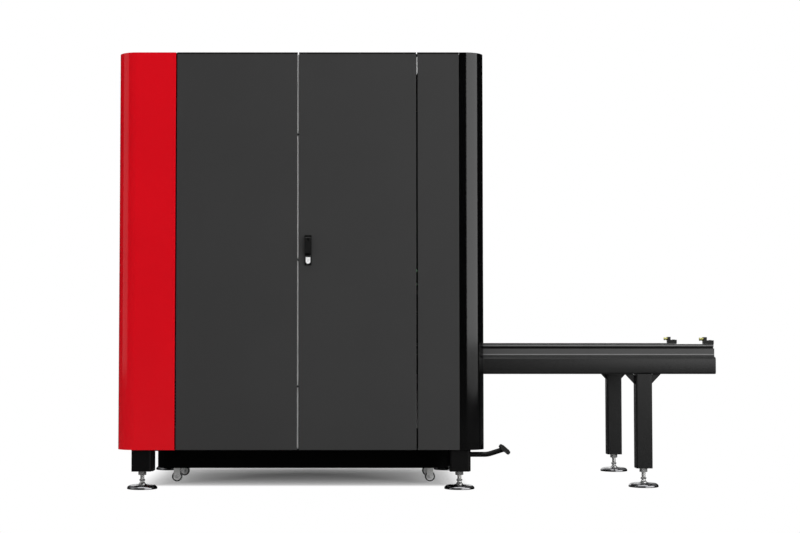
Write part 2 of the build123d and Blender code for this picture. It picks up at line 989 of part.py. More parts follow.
def table_frame():
    x0 = chamber_rear + table_rear_gap
    x1 = cab_front - sheet
    z0 = frame_bottom
    z1 = frame_bottom + frame_height
    out = rail_offset + frame_bar / 2
    inner = rail_offset - frame_bar / 2
    shelf = z1 - ledge_drop
    pieces = both(block(x0, x1, -out, -inner, z0, z1))
    pieces.append(block(x0, x0 + frame_cross, -inner, inner, z0, z1))
    pieces.append(block(x1 - frame_cross, x1, -inner, inner, z0, z1))
    ledge_x = (x0 + frame_cross, x1 - frame_cross)
    return pieces + both(block(*ledge_x, -inner, -inner + ledge, shelf - ledge_height, shelf))


def table_slats():
    half = rail_offset - frame_bar / 2 - slat_end_gap
    low = slat_low
    high = slat_top
    pitch = 2 * half / slat_teeth
    points = [(-half, low), (half, low)]
    for tooth in range(slat_teeth):
        y = half - tooth * pitch
        points.append((y, high - tooth_height))
        points.append((y - pitch / 2, high))
    points.append((-half, high - tooth_height))
    slat = extrude(Plane.YZ * make_face(Polyline(*points, close=True)), slat_thick)
    x0 = chamber_rear + table_rear_gap + frame_cross
    span = cab_front - panel_depth - frame_cross - x0
    first, last = slat_place_shares
    step = (last - first) / (slat_count - 1)
    return [Pos(x0 + span * (first + row * step), 0, 0) * slat for row in range(slat_count)]


def table_carriages():
    x0 = chamber_rear + table_rear_gap + carriage_inset
    x1 = cab_front - panel_depth - carriage_inset - carriage_length
    half = carriage_width / 2
    low = rail_top - carriage_hang
    groove = rail_head / 2 + slide_gap
    pieces = []
    for x in (x0, x1):
        body = block(x, x + carriage_length, -half, half, low, frame_bottom)
        body -= block(x - overrun, x + carriage_length + overrun, -groove, groove, low - overrun,
                      rail_top + slide_gap)
        pieces.extend(both(Pos(0, -rail_offset, 0) * body))
    return pieces


def table_apron():
    half = front_open_half - apron_side_gap
    body = tray(-half, half, apron_bottom, apron_top, panel_depth)
    z = (apron_bottom + apron_top) / 2
    bar = pull_bar / 2
    grip = pull_length / 2
    pull = block(-grip, grip, -pull_stand - bar, -pull_stand + bar, z - bar, z + bar)
    for way in (-1, 1):
        ends = sorted((way * grip, way * (grip - pull_bar)))
        pull += block(*ends, -pull_stand, 0, z - bar, z + bar)
    return on_front(body + Pos(pull_offset, 0, 0) * pull)


# Gantry, head carriage and cutting head
def gantry_x():
    return cab_mid + gantry_rest


def side_rail_y():
    return (side_beam_in + side_beam_out) / 2


def gantry_rails():
    x1 = post_front_x - post / 2
    half = gantry_rail / 2
    y = -side_rail_y()
    rail = block(mid_front, x1, y - half, y + half, gantry_beam_level, gantry_beam_level + gantry_rail)
    return both(rail)


def gantry_beam():
    low = gantry_low
    half = jamb_in - gantry_side_gap
    x = gantry_x()
    body = block(x - gantry_half, x + gantry_half, -half, half, low, low + gantry_height)
    body = tube_along(body, Axis.Y, tube_radius)
    for piece in gantry_blocks() + head_rails():
        body += piece
    return body


def gantry_blocks():
    groove = gantry_rail / 2 + slide_gap
    half = block_width / 2
    low = gantry_beam_level + block_low
    roof = gantry_beam_level + gantry_rail + slide_gap
    pieces = []
    for way in (-1, 1):
        x = gantry_x() + way * block_spread
        ends = (x - block_length / 2, x + block_length / 2)
        body = block(*ends, -half, half, low, low + block_height)
        body -= block(ends[0] - overrun, ends[1] + overrun, -groove, groove, low - overrun, roof)
        pieces.extend(both(Pos(0, -side_rail_y(), 0) * body))
    return pieces


def head_rail_heights():
    return [gantry_low + share * gantry_height for share in head_rail_shares]


def head_rails():
    face = gantry_x() + gantry_half
    half = jamb_in - gantry_side_gap
    size = head_rail / 2
    return [block(face, face + head_rail_deep, -half, half, z - size, z + size) for z in head_rail_heights()]


def head_carriage():
    face = gantry_x() + gantry_half
    x0 = face + head_rail_deep + carriage_air
    low = gantry_low + carriage_grip
    high = gantry_low + gantry_height - carriage_grip
    body = block(x0, x0 + carriage_plate, -plate_half, plate_half, low, high)
    size = head_rail / 2
    room = size + slide_gap
    for z in head_rail_heights():
        shoe = block(face + carriage_grip, x0, -plate_half, plate_half, z - head_rail, z + head_rail)
        shoe -= block(face, face + head_rail_deep + slide_gap, -plate_half - overrun, plate_half + overrun,
                      z - room, z + room)
        body += shoe
    return body


def z_axis_start():
    return gantry_x() + gantry_half + head_rail_deep + carriage_air + carriage_plate


def z_axis():
    x0 = z_axis_start()
    body = block(x0, x0 + z_box_deep, -z_box_half, z_box_half, z_box_bottom, z_box_top)
    half = motor_side / 2
    x = x0 + z_box_deep / 2
    reach = min(half, z_box_deep / 2)
    return body + block(x - reach, x + reach, -half, half, z_box_top, z_box_top + motor_height)


def cutting_head():
    x0 = z_axis_start() + z_box_deep + slide_gap
    x = x0 + z_slide_thick + head_axis_out
    slide = (z_box_bottom + z_slide_rise, z_box_bottom + z_slide_rise + z_slide_height)
    body = block(x0, x0 + z_slide_thick, -z_slide_half, z_slide_half, *slide)
    optic = optic_side / 2
    body += block(x0 + z_slide_thick, x + optic, -optic, optic, body_top, optic_top)
    body += rod_z(body_radius, x, 0, lens_top, body_top)
    lens = lens_side / 2
    body += block(x - lens, x + lens, -lens, lens, sensor_top, lens_top)
    body += rod_z(sensor_radius, x, 0, nozzle_top, sensor_top)
    return body + rod_z(plug_radius, x, 0, optic_top, plug_top)


def nozzle():
    x = z_axis_start() + z_box_deep + slide_gap + z_slide_thick + head_axis_out
    return Pos(x, 0, nozzle_tip + nozzle_height / 2) * Cone(nozzle_tip_radius, nozzle_radius, nozzle_height)


# Gear behind the left leaf
def gear_shelves():
    x0 = post_rear_x + post / 2
    low = block(x0, mid_rear, -floor_half, floor_half, low_top, unit_low)
    return [low, block(x0, mid_rear, -floor_half, floor_half, rack_level, gear_foot)]


def rack_unit(low, height):
    x0 = post_rear_x + bay_rear
    body = block(x0, mid_rear - bay_rear, -unit_near, unit_depth - unit_near, low, low + height)
    return tube_along(body, Axis.Z, unit_radius)


def gear_plate_span():
    return post_rear_x + post / 2 + gear_plate_rear, mid_rear - gear_plate_front


def gear_plate():
    x0, x1 = gear_plate_span()
    body = block(x0, x1, -plate_near, -plate_near + sheet, gear_foot, gear_plate_top)
    return body + block(x0, x1, -plate_near, -plate_near + gear_flange, gear_foot, gear_foot + sheet)


def gear_row(count, pitch, width, deep, height, level_share):
    rear, front = gear_plate_span()
    start = (rear + front - (count - 1) * pitch - width) / 2
    level = gear_foot + level_share * (gear_plate_top - gear_foot)
    pieces = []
    for place in range(count):
        x = start + place * pitch
        pieces.append(block(x, x + width, -plate_near - deep, -plate_near, level, level + height))
    return pieces


def partition():
    return block(middle_seam - sheet / 2, middle_seam + sheet / 2, -mid_in, mid_in, low_top, post_top)


def slag_chutes():
    top = table_beam_bottom + chute_flange
    low = table_beam_bottom
    outer = rail_low
    inner = rail_low - chute_in
    foot = panel_bottom + chute_rise
    points = [(-outer, top), (-outer, low), (-inner, foot), (-inner + sheet, foot),
              (-outer + sheet, low), (-outer + sheet, top)]
    start = chamber_in + chute_rear_gap
    end = post_front_x - low_beam / 2 - chute_front_gap
    plate = extrude(Plane.YZ * make_face(Polyline(*points, close=True)), end - start)
    return both(Pos(start, 0, 0) * plate)


# Slag cart on four fixed casters
def slag_bin():
    outline = RectangleRounded(2 * cart_half_length, 2 * cart_half_width, cart_corner)
    hollow = RectangleRounded(2 * cart_half_length - 2 * cart_wall, 2 * cart_half_width - 2 * cart_wall,
                              cart_corner - cart_wall)
    body = extrude(outline, cart_height) - Pos(0, 0, cart_wall) * extrude(hollow, cart_height)
    body = Pos(cab_mid, 0, cart_bottom) * body
    rear = cab_mid - cart_half_length
    z = cart_top - cart_grip_drop
    bar = cart_grip_bar
    tail = rear - cart_grip_reach
    body += block(tail, tail + bar, -cart_grip_half, cart_grip_half, z, z + bar)
    for way in (-1, 1):
        ends = sorted((way * cart_grip_half, way * (cart_grip_half - bar)))
        body += block(tail, rear, *ends, z, z + bar)
    return body


def caster_fork(x, y):
    inner = wheel_width / 2 + fork_gap
    plate = fork_plate_half
    body = block(-plate, plate, -plate, plate, cart_bottom - fork_plate, cart_bottom)
    for way in (-1, 1):
        ends = sorted((way * inner, way * (inner + fork_cheek)))
        body += block(-fork_half, fork_half, *ends, wheel_radius, cart_bottom - fork_plate)
        body += rod_y(fork_axle_round, 0, *ends, wheel_radius)
    body += rod_y(axle_radius, 0, -inner - fork_cheek, inner + fork_cheek, wheel_radius)
    return Pos(x, y, 0) * body


def cart_wheel(x, y):
    tyre = rod_y(wheel_radius, 0, -wheel_width / 2, wheel_width / 2, wheel_radius)
    bore = rod_y(axle_radius + run_gap, 0, -wheel_width, wheel_width, wheel_radius)
    return Pos(x, y, 0) * (tyre - bore)


# Foot pedal on a pivot behind the near front post
def pedal_lever():
    x = pedal_x
    flat_end = cab_front + pedal_flat_end
    top_x = cab_front + pedal_rise_x
    y = -pedal_y
    boss = rod_y(pedal_boss, x, y - pedal_boss_half, y + pedal_boss_half, pedal_level)
    path = Polyline((x, y, pedal_level), (flat_end, y, pedal_level), (top_x, y, pedal_level + pedal_rise))
    start = Plane(origin=(x, y, pedal_level), z_dir=(1, 0, 0))
    tube = sweep(start * Circle(pedal_tube), path, transition=Transition.ROUND)
    bore = rod_y(pedal_pin + run_gap, x, y - pedal_boss, y + pedal_boss, pedal_level)
    return boss + tube - bore - pedal_pad_room()


def pedal_pad_place():
    return Pos(cab_front + pedal_pad_x, -pedal_y, pedal_level + pedal_pad_rise) * Rot(0, pedal_pad_tilt, 0)


def pedal_pad_room():
    return pedal_pad_place() * Box(pedal_pad_length, pedal_pad_width, pedal_pad_thick)


def pedal_pad():
    body = Box(pedal_pad_length, pedal_pad_width, pedal_pad_thick)
    return pedal_pad_place() * tube_along(body, Axis.Y, pedal_pad_round)


def build_all():
    ring = skin_ring()
    save("base_frame", *base_frame())
    save("levelling_pads", *[Pos(x, y, 0) * foot_pad() for x, y, top in foot_places()])
    save("levelling_screws", *[Pos(x, y, 0) * foot_screw(top) for x, y, top in foot_places()])
    cover = rear_cover(ring)
    save("rear_cover_near", cover)
    save("rear_cover_far", other_side(cover))
    column = front_column(ring)
    save("front_column_near", column)
    save("front_column_far", other_side(column))
    save("side_strip_near", side_strip())
    save("far_side_panels", *far_panels())
    save("roof_panel", roof_panel())
    save("rear_panel", rear_panel())
    save("duct_spigot", duct_spigot())
    save("front_lower_panel", lower_panel())
    save("front_fascia", front_fascia())
    save("touch_screen", screen())
    start, halt, emergency = button_table()
    save("start_button", button(*start))
    save("stop_button", button(*halt))
    save("emergency_stop", button(*emergency))
    right, left = side_hinges()
    save("upper_right_hinge", right[-1])
    save("door_hinges", *right[:-1], *left, *front_hinges())
    save("left_door", left_door())
    save("right_door", right_door())
    save("handle_plate", handle_plate())
    save("handle_hub", handle_hub())
    save("handle_lever", handle_lever())
    save("lock_cylinder", lock_cylinder())
    save("lock_bar", lock_bar())
    save("centre_strip", centre_strip())
    save("front_door", front_door())
    save("front_window", front_window())
    save("front_grip", front_grip())
    save("table_rails", *both(table_rail()))
    save("stand_beams", *stand_beams())
    save("stand_legs", *both(stand_leg()))
    save("stop_brackets", *both(stop_bracket()))
    save("stop_bolts", *both(stop_bolt()))
    save("table_frame", *table_frame())
    save("table_slats", *table_slats())
    save("table_carriages", *table_carriages())
    save("table_apron", table_apron())
    save("gantry_rails", *gantry_rails())
    save("gantry_beam", gantry_beam())
    save("head_carriage", head_carriage() + z_axis())
    save("cutting_head", cutting_head())
    save("nozzle", nozzle())
    save("gear_shelves", *gear_shelves())
    save("water_chiller", rack_unit(unit_low, chiller_height))
    save("laser_source", rack_unit(unit_low + chiller_height, laser_height))
    save("gear_plate", gear_plate())
    drives = (drive_count, drive_pitch, drive_width, drive_deep, drive_height, drive_level_share)
    save("servo_drives", *gear_row(*drives))
    breakers = (breaker_count, breaker_pitch, breaker_width, breaker_deep, breaker_height,
                breaker_level_share)
    save("circuit_breakers", *gear_row(*breakers))
    brain = (1, 0, controller_width, controller_deep, controller_height, controller_level_share)
    save("controller", *gear_row(*brain))
    save("partition", partition())
    save("slag_chutes", *slag_chutes())
    save("slag_bin", slag_bin())
    forks = [caster_fork(cab_mid + way * wheel_x, side * wheel_y) for way in (-1, 1) for side in (-1, 1)]
    save("caster_forks", *forks)
    save("rear_wheels", *[cart_wheel(cab_mid - wheel_x, side * wheel_y) for side in (-1, 1)])
    save("front_wheels", *[cart_wheel(cab_mid + wheel_x, side * wheel_y) for side in (-1, 1)])
    save("pedal_lever", pedal_lever())
    save("pedal_pad", pedal_pad())


build_all()
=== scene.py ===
import json
import math

import bmesh
import bpy
from mathutils import Matrix, Vector


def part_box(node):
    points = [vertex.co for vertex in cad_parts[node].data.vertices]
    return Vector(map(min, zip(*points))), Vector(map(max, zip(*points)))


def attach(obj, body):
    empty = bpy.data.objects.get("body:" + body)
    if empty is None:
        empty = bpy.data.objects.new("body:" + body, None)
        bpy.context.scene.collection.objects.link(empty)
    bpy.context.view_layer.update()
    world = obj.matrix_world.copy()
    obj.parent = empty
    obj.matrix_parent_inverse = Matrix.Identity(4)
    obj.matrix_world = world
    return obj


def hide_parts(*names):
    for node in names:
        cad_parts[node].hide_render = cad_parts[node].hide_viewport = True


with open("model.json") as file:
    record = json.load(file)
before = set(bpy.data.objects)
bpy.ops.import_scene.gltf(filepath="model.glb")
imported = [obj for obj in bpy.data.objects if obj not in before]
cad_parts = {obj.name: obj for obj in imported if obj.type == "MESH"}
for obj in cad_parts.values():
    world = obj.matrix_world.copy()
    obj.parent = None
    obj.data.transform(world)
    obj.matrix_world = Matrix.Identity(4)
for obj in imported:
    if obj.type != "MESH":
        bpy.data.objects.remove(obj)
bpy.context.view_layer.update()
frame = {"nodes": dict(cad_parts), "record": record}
nodes = frame["nodes"]
MM = 0.001

# Faces and rows of the CAD model that pieces are set on, in millimetres
SIDE_FACE = 590
FRONT_FACE = 322.5
REAR_FACE = -1357.5
ROOF_TOP = 2000
MIDDLE = -517.5
POST_XS = (-1243.5, 208.5)
POST_YS = (-529, 529)
LEG_X = 1068.5
STAND_YS = (-435, 435)
BEAM_LEVEL = 562
BEAM_END = 1402.5
CASTER_XS = {"rear": -1124.5, "front": 89.5}
CASTER_YS = (-165, 165)
WHEEL_LEVEL = 25
REAR_SEAM, MIDDLE_SEAM, FRONT_SEAM = -1088.5, -529.5, 13.5
LOCK_TONGUES = (467, 1046, 1620)

# Camera that matches the photograph
CAMERA_PLACE = (-0.2505, -7.924, 0.705)
CAMERA_PITCH = 0.0423
CAMERA_LENS = 72.32
CAMERA_SENSOR = 36
CAMERA_SHIFT = 0.0511

# Light levels, and the world directions that reflections see lighter
FILL_LEVEL = 0.56
DARK_LEVEL = 0.012
OVERHEAD_LEVEL = 0.30
BEHIND_FROM, BEHIND_TO = 0.95, 0.995
OVERHEAD_FROM, OVERHEAD_TO = 0.25, 0.60
WHITE = (1, 1, 1, 1)
BLACK = (0, 0, 0, 1)
FLOOR_PALE = (0.96, 0.96, 0.96, 1)
FLOOR_MIRRORED = (0.08, 0.08, 0.08, 1)
FLOOR_REACH = 40
FLOOR_DROP = 0.0005

# White glow of the floor to the camera. It is kept low under the machine, so it paints the shape and depth of
# the floor's shadow there on top of the shadow the lamps cast, and it stays in place when pieces move. Set by
# metres from the cabinet's middle, and by share of the reach across
GLOW_REACH = 0.7
SHADOW_SHAPING_GLOW_ALONG = ((0, 0.02), (0.25, 0.06), (0.5, 0.17), (0.645, 0.30), (0.70, 0.47), (0.75, 0.76), (0.79, 1))
SHADOW_SHAPING_GLOW_ACROSS = ((0, 1), (0.205, 1), (0.225, 0.72), (0.265, 0.40), (0.345, 0.23), (0.455, 0.13), (0.575, 0.07),
               (0.70, 0.02), (0.84, 0), (0.92, 0.04), (0.97, 0.3), (1, 1))


def add_object(name, data):
    obj = bpy.data.objects.new(name, data)
    bpy.context.scene.collection.objects.link(obj)
    return obj


# Materials
def new_material(name):
    material = bpy.data.materials.new(name)
    material.use_nodes = True
    tree = material.node_tree
    return material, tree, tree.nodes["Principled BSDF"]


def place_texture(tree, stretch=(1, 1, 1), shift=(0, 0, 0)):
    coords = tree.nodes.new("ShaderNodeTexCoord")
    mapping = tree.nodes.new("ShaderNodeMapping")
    mapping.inputs["Scale"].default_value = stretch
    mapping.inputs["Location"].default_value = shift
    tree.links.new(coords.outputs["Object"], mapping.inputs["Vector"])
    return mapping.outputs["Vector"]


def axes(tree, vector):
    node = tree.nodes.new("ShaderNodeSeparateXYZ")
    tree.links.new(vector, node.inputs["Vector"])
    return node.outputs


def combine(tree, operation, *values):
    node = tree.nodes.new("ShaderNodeMath")
    node.operation = operation
    for socket, value in zip(node.inputs, values):
        tree.links.new(value, socket)
    return node.outputs["Value"]


def blend(tree, factor, first, second):
    node = tree.nodes.new("ShaderNodeMix")
    node.data_type = "RGBA"
    tree.links.new(factor, node.inputs["Factor"])
    for name, value in (("A", first), ("B", second)):
        if isinstance(value, tuple):
            node.inputs[name].default_value = value
        else:
            tree.links.new(value, node.inputs[name])
    return node.outputs["Result"]


def noise(tree, vector, scale, detail=2, rough=0.5):
    node = tree.nodes.new("ShaderNodeTexNoise")
    node.inputs["Scale"].default_value = scale
    node.inputs["Detail"].default_value = detail
    node.inputs["Roughness"].default_value = rough
    tree.links.new(vector, node.inputs["Vector"])
    return node.outputs["Fac"]


def spread(tree, value, low, high, start=0.3, end=0.7):
    node = tree.nodes.new("ShaderNodeMapRange")
    node.inputs["From Min"].default_value = start
    node.inputs["From Max"].default_value = end
    node.inputs["To Min"].default_value = low
    node.inputs["To Max"].default_value = high
    tree.links.new(value, node.inputs["Value"])
    return node.outputs["Result"]


def tint(tree, value, first, second):
    node = tree.nodes.new("ShaderNodeValToRGB")
    node.color_ramp.elements[0].position = 0.35
    node.color_ramp.elements[0].color = (*first, 1)
    node.color_ramp.elements[1].position = 0.65
    node.color_ramp.elements[1].color = (*second, 1)
    tree.links.new(value, node.inputs["Fac"])
    return node.outputs["Color"]


def grey_steps(tree, value, steps, interpolation="LINEAR"):
    node = tree.nodes.new("ShaderNodeValToRGB")
    ramp = node.color_ramp
    ramp.interpolation = interpolation
    for place, level in steps[1:-1]:
        ramp.elements.new(place).color = (level, level, level, 1)
    for element, (place, level) in ((ramp.elements[0], steps[0]), (ramp.elements[-1], steps[-1])):
        element.position = place
        element.color = (level, level, level, 1)
    tree.links.new(value, node.inputs["Fac"])
    return node.outputs["Color"]


def bump(tree, shader, height, strength, depth):
    node = tree.nodes.new("ShaderNodeBump")
    node.inputs["Strength"].default_value = strength
    node.inputs["Distance"].default_value = depth
    tree.links.new(height, node.inputs["Height"])
    tree.links.new(node.outputs["Normal"], shader.inputs["Normal"])


def shade(colour, share):
    return tuple(channel * share for channel in colour)


def paint(name, colour, rough, peel_size, peel_strength, gloss=0.5, vary=0.06):
    material, tree, shader = new_material(name)
    vector = place_texture(tree)
    cloud = noise(tree, vector, 3.0, 3)
    mottle = tint(tree, cloud, shade(colour, 1 - vary), shade(colour, 1 + vary))
    tree.links.new(mottle, shader.inputs["Base Color"])
    fine = noise(tree, vector, 1 / peel_size, 2)
    tree.links.new(spread(tree, fine, rough - 0.05, rough + 0.05), shader.inputs["Roughness"])
    shader.inputs["Specular IOR Level"].default_value = gloss
    bump(tree, shader, fine, peel_strength, peel_size / 4)
    return material


def metal(name, colour, rough, stretch, scale, vary=0.15, strength=0.08):
    material, tree, shader = new_material(name)
    vector = place_texture(tree, stretch)
    grain = noise(tree, vector, scale, 4, 0.6)
    mottle = tint(tree, grain, shade(colour, 1 - vary), shade(colour, 1 + vary))
    tree.links.new(mottle, shader.inputs["Base Color"])
    tree.links.new(spread(tree, grain, rough - 0.06, rough + 0.08), shader.inputs["Roughness"])
    shader.inputs["Metallic"].default_value = 1.0
    bump(tree, shader, grain, strength, 0.0002)
    return material


def plastic(name, colour, rough, grain_size=0.0008, strength=0.12, gloss=0.5):
    return paint(name, colour, rough, grain_size, strength, gloss, 0.1)


def plated(name, colour, rough, metallic, scale=220):
    material, tree, shader = new_material(name)
    vector = place_texture(tree)
    grain = noise(tree, vector, scale, 3)
    light = tint(tree, grain, shade(colour, 0.93), shade(colour, 1.03))
    tree.links.new(light, shader.inputs["Base Color"])
    tree.links.new(spread(tree, grain, rough - 0.05, rough + 0.05), shader.inputs["Roughness"])
    shader.inputs["Metallic"].default_value = metallic
    return material


def glass(name, colour, rough):
    material, tree, shader = new_material(name)
    vector = place_texture(tree)
    cloud = noise(tree, vector, 6.0, 2)
    tree.links.new(tint(tree, cloud, shade(colour, 0.94), colour), shader.inputs["Base Color"])
    tree.links.new(spread(tree, cloud, rough, rough + 0.03), shader.inputs["Roughness"])
    shader.inputs["Transmission Weight"].default_value = 1.0
    shader.inputs["IOR"].default_value = 1.45
    return material


# Levels of the rail section and of the slats, in metres, and the rail's colour bands by share of its height:
# the seat's grey paint and the steel head, with two painted highlight lines and a painted shade in the groove
# under the head
RAIL_FOOT = 0.602
RAIL_TOP = 0.661
RAIL_PAINT_AND_PAINTED_LIGHT_BANDS = ((0, 0.040), (0.15, 0.18), (0.215, 0.060), (0.63, 0.0015), (0.797, 0.030), (0.845, 0.19),
              (0.905, 0.040), (0.985, 0.45))
SLAT_CLEAN = 0.735
SLAT_BURNT = 0.785
SOOT = (0.060, 0.042, 0.034, 1)


def rail_with_painted_light_bands(name):
    material, tree, shader = new_material(name)
    grain = noise(tree, place_texture(tree, (1, 30, 30)), 12, 4, 0.6)
    level = spread(tree, axes(tree, place_texture(tree))["Z"], 0, 1, RAIL_FOOT, RAIL_TOP)
    # Colour by height: the rail's own paint and steel, with painted highlight lines and painted groove shade
    # among the bands
    tree.links.new(grey_steps(tree, level, RAIL_PAINT_AND_PAINTED_LIGHT_BANDS, "CONSTANT"), shader.inputs["Base Color"])
    tree.links.new(spread(tree, level, 0, 1, 0.985, 0.99), shader.inputs["Metallic"])
    tree.links.new(spread(tree, grain, 0.34, 0.48), shader.inputs["Roughness"])
    shader.inputs["Specular IOR Level"].default_value = 0.18
    bump(tree, shader, grain, 0.04, 0.0002)
    return material


def slat_metal(name):
    material, tree, shader = new_material(name)
    vector = place_texture(tree, (1, 1, 4))
    grain = noise(tree, vector, 40, 4, 0.6)
    soot = noise(tree, vector, 9, 5, 0.7)
    height = spread(tree, axes(tree, place_texture(tree))["Z"], 0.15, 1, SLAT_CLEAN, SLAT_BURNT)
    burnt = combine(tree, "MULTIPLY", height, spread(tree, soot, 0.3, 1, 0.3, 0.6))
    steel = tint(tree, grain, (0.20, 0.19, 0.18), (0.30, 0.28, 0.26))
    tree.links.new(blend(tree, burnt, steel, SOOT), shader.inputs["Base Color"])
    tree.links.new(spread(tree, burnt, 0.42, 0.75, 0, 1), shader.inputs["Roughness"])
    shader.inputs["Metallic"].default_value = 0.85
    bump(tree, shader, soot, 0.25, 0.0004)
    return material


FINISH = {
    "grey_panel": paint("grey_panel", (0.034, 0.034, 0.034), 0.55, 0.0016, 0.10, 0.20, 0.02),
    "red_panel": paint("red_panel", (0.62, 0.0024, 0.0085), 0.12, 0.0030, 0.012, 0.45, 0.02),
    "black_gloss": paint("black_gloss", (0.0010, 0.0010, 0.0011), 0.09, 0.0030, 0.012, 0.5, 0.1),
    "frame_paint": paint("frame_paint", (0.0028, 0.0028, 0.0028), 0.42, 0.0016, 0.10, 0.20, 0.1),
    "stand_paint": paint("stand_paint", (0.0085, 0.0085, 0.0085), 0.30, 0.0016, 0.10, 0.40, 0.06),
    "dark_chrome": metal("dark_chrome", (0.28, 0.28, 0.29), 0.14, (1, 1, 1), 30, 0.10, 0.02),
    "zinc": plated("zinc", (0.80, 0.80, 0.79), 0.18, 0.86, 70),
    "black_steel": metal("black_steel", (0.045, 0.045, 0.047), 0.45, (1, 1, 1), 160, 0.2, 0.06),
    "rail_steel": metal("rail_steel", (0.13, 0.13, 0.13), 0.40, (1, 30, 30), 12, 0.08, 0.04),
    "yellow_zinc": metal("yellow_zinc", (0.58, 0.56, 0.20), 0.32, (1, 1, 1), 90, 0.2, 0.05),
    "strip_aluminium": plated("strip_aluminium", (0.85, 0.85, 0.85), 0.42, 0.1, 60),
    "handle_black": plastic("handle_black", (0.006, 0.006, 0.006), 0.34, 0.0006, 0.12, 0.4),
    "lock_chrome": plated("lock_chrome", (0.94, 0.94, 0.94), 0.22, 0.15),
    "window_glass": glass("window_glass", (0.30, 0.62, 0.36), 0.04),
    "screen_black": plastic("screen_black", (0.004, 0.004, 0.005), 0.10, 0.003, 0.02),
    "button_green": plastic("button_green", (0.02, 0.30, 0.05), 0.28),
    "button_black": plastic("button_black", (0.015, 0.015, 0.015), 0.28),
    "button_red": plastic("button_red", (0.60, 0.01, 0.01), 0.26),
    "gear_plate_zinc": metal("gear_plate_zinc", (0.56, 0.57, 0.58), 0.40, (1, 1, 1), 25, 0.14, 0.03),
    "gear_grey": plastic("gear_grey", (0.16, 0.16, 0.165), 0.50),
    "unit_grey": paint("unit_grey", (0.30, 0.30, 0.31), 0.48, 0.0016, 0.10, 0.4),
    "inner_paint": paint("inner_paint", (0.42, 0.42, 0.42), 0.50, 0.0016, 0.10, 0.4),
    "slat_steel": slat_metal("burnt_slats"),
    "gantry_aluminium": metal("gantry_aluminium", (0.62, 0.62, 0.63), 0.36, (30, 1, 30), 10, 0.05, 0.04),
    "head_black": metal("head_black", (0.05, 0.05, 0.055), 0.36, (1, 1, 40), 10, 0.1, 0.04),
    "nozzle_brass": metal("nozzle_brass", (0.78, 0.53, 0.20), 0.22, (1, 1, 60), 10, 0.06, 0.03),
    "cart_paint": paint("cart_paint", (0.0014, 0.0014, 0.0014), 0.60, 0.0016, 0.10, 0.07, 0.1),
    "wheel_plastic": plastic("wheel_plastic", (0.90, 0.90, 0.90), 0.42),
    "pedal_rubber": plastic("pedal_rubber", (0.012, 0.012, 0.012), 0.62, 0.0012, 0.3, 0.35),
}

# Finishes of single nodes, in place of their slot's
OWN_FINISH = {
    "table_rails": rail_with_painted_light_bands("rail_with_painted_light_bands"),
    # The top hinge takes a paler plating than the other hinges: painted light, for the light that falls on it
    # from above
    "upper_right_hinge": plated("hinge_plating_painted_lit", (0.92, 0.92, 0.92), 0.30, 0.1),
    # The caster forks take a near-white plating: partly their pale zinc, partly painted light that lifts them
    # in the shade under the cart
    "caster_forks": plated("fork_plating_painted_lit", (0.92, 0.92, 0.91), 0.30, 0.1),
    "lock_bar": FINISH["frame_paint"],
    "handle_plate": plastic("plate_black", (0.002, 0.002, 0.002), 0.36, 0.0006, 0.12, 0.25),
    "pedal_lever": paint("pedal_enamel", (0.0035, 0.0035, 0.0035), 0.30, 0.0016, 0.06, 0.4, 0.1),
    "stop_brackets": paint("bracket_black", (0.006, 0.006, 0.006), 0.42, 0.0016, 0.10, 0.3, 0.1),
}


def dress_nodes():
    for row in frame["record"]["subparts"]:
        mesh = nodes[row["node"]].data
        mesh.materials.clear()
        mesh.materials.append(OWN_FINISH.get(row["node"]) or FINISH[row["material_slot"]])


# Forms, drawn in millimetres and placed in metres
FACING = {
    "up": Matrix.Identity(4),
    "near": Matrix.Rotation(math.pi / 2, 4, "X"),
    "far": Matrix.Rotation(math.pi, 4, "Z") @ Matrix.Rotation(math.pi / 2, 4, "X"),
    "front": Matrix.Rotation(math.pi / 2, 4, "Z") @ Matrix.Rotation(math.pi / 2, 4, "X"),
    "rear": Matrix.Rotation(-math.pi / 2, 4, "Z") @ Matrix.Rotation(math.pi / 2, 4, "X"),
}


def spot(x, y, z, facing="up"):
    return Matrix.Translation(Vector((x, y, z)) * MM) @ FACING[facing] @ Matrix.Scale(MM, 4)


def full_turn(steps):
    return [2 * math.pi * step / steps for step in range(steps)]


def circle(radius, steps=24):
    def outline(inset=0):
        size = radius - inset
        return [(size * math.cos(turn), size * math.sin(turn)) for turn in full_turn(steps)]
    return outline


def knurled(radius, steps, depth):
    def outline(inset=0):
        sizes = [radius - inset - depth * (step % 2) for step in range(steps)]
        return [(size * math.cos(turn), size * math.sin(turn)) for size, turn in zip(sizes, full_turn(steps))]
    return outline


def wire(inset, height, radius, steps):
    return [(inset + radius * math.cos(turn), height + radius * math.sin(turn)) for turn in full_turn(steps)]


def rounded(width, height, corner, steps=4):
    def outline(inset=0):
        round_off = max(corner - inset, 0.2)
        half_x = width / 2 - inset - round_off
        half_y = height / 2 - inset - round_off
        points = []
        for quarter, (sign_x, sign_y) in enumerate(((1, 1), (-1, 1), (-1, -1), (1, -1))):
            for step in range(steps + 1):
                turn = math.pi / 2 * (quarter + step / steps)
                points.append((sign_x * half_x + round_off * math.cos(turn),
                               sign_y * half_y + round_off * math.sin(turn)))
        return points
    return outline


def hexagon(flats):
    def outline(inset=0):
        size = (flats / 2 - inset) / math.cos(math.pi / 6)
        turns = [math.pi / 3 * step for step in range(6)]
        return [(size * math.cos(turn), size * math.sin(turn)) for turn in turns]
    return outline


def half_disc(radius, gap, side, steps=10):
    def outline(inset=0):
        size = radius - inset
        reach = math.acos((gap / 2 + inset / 2) / size)
        turns = [reach * (2 * step / steps - 1) for step in range(steps + 1)]
        return [(side * size * math.cos(turn), side * size * math.sin(turn)) for turn in turns]
    return outline


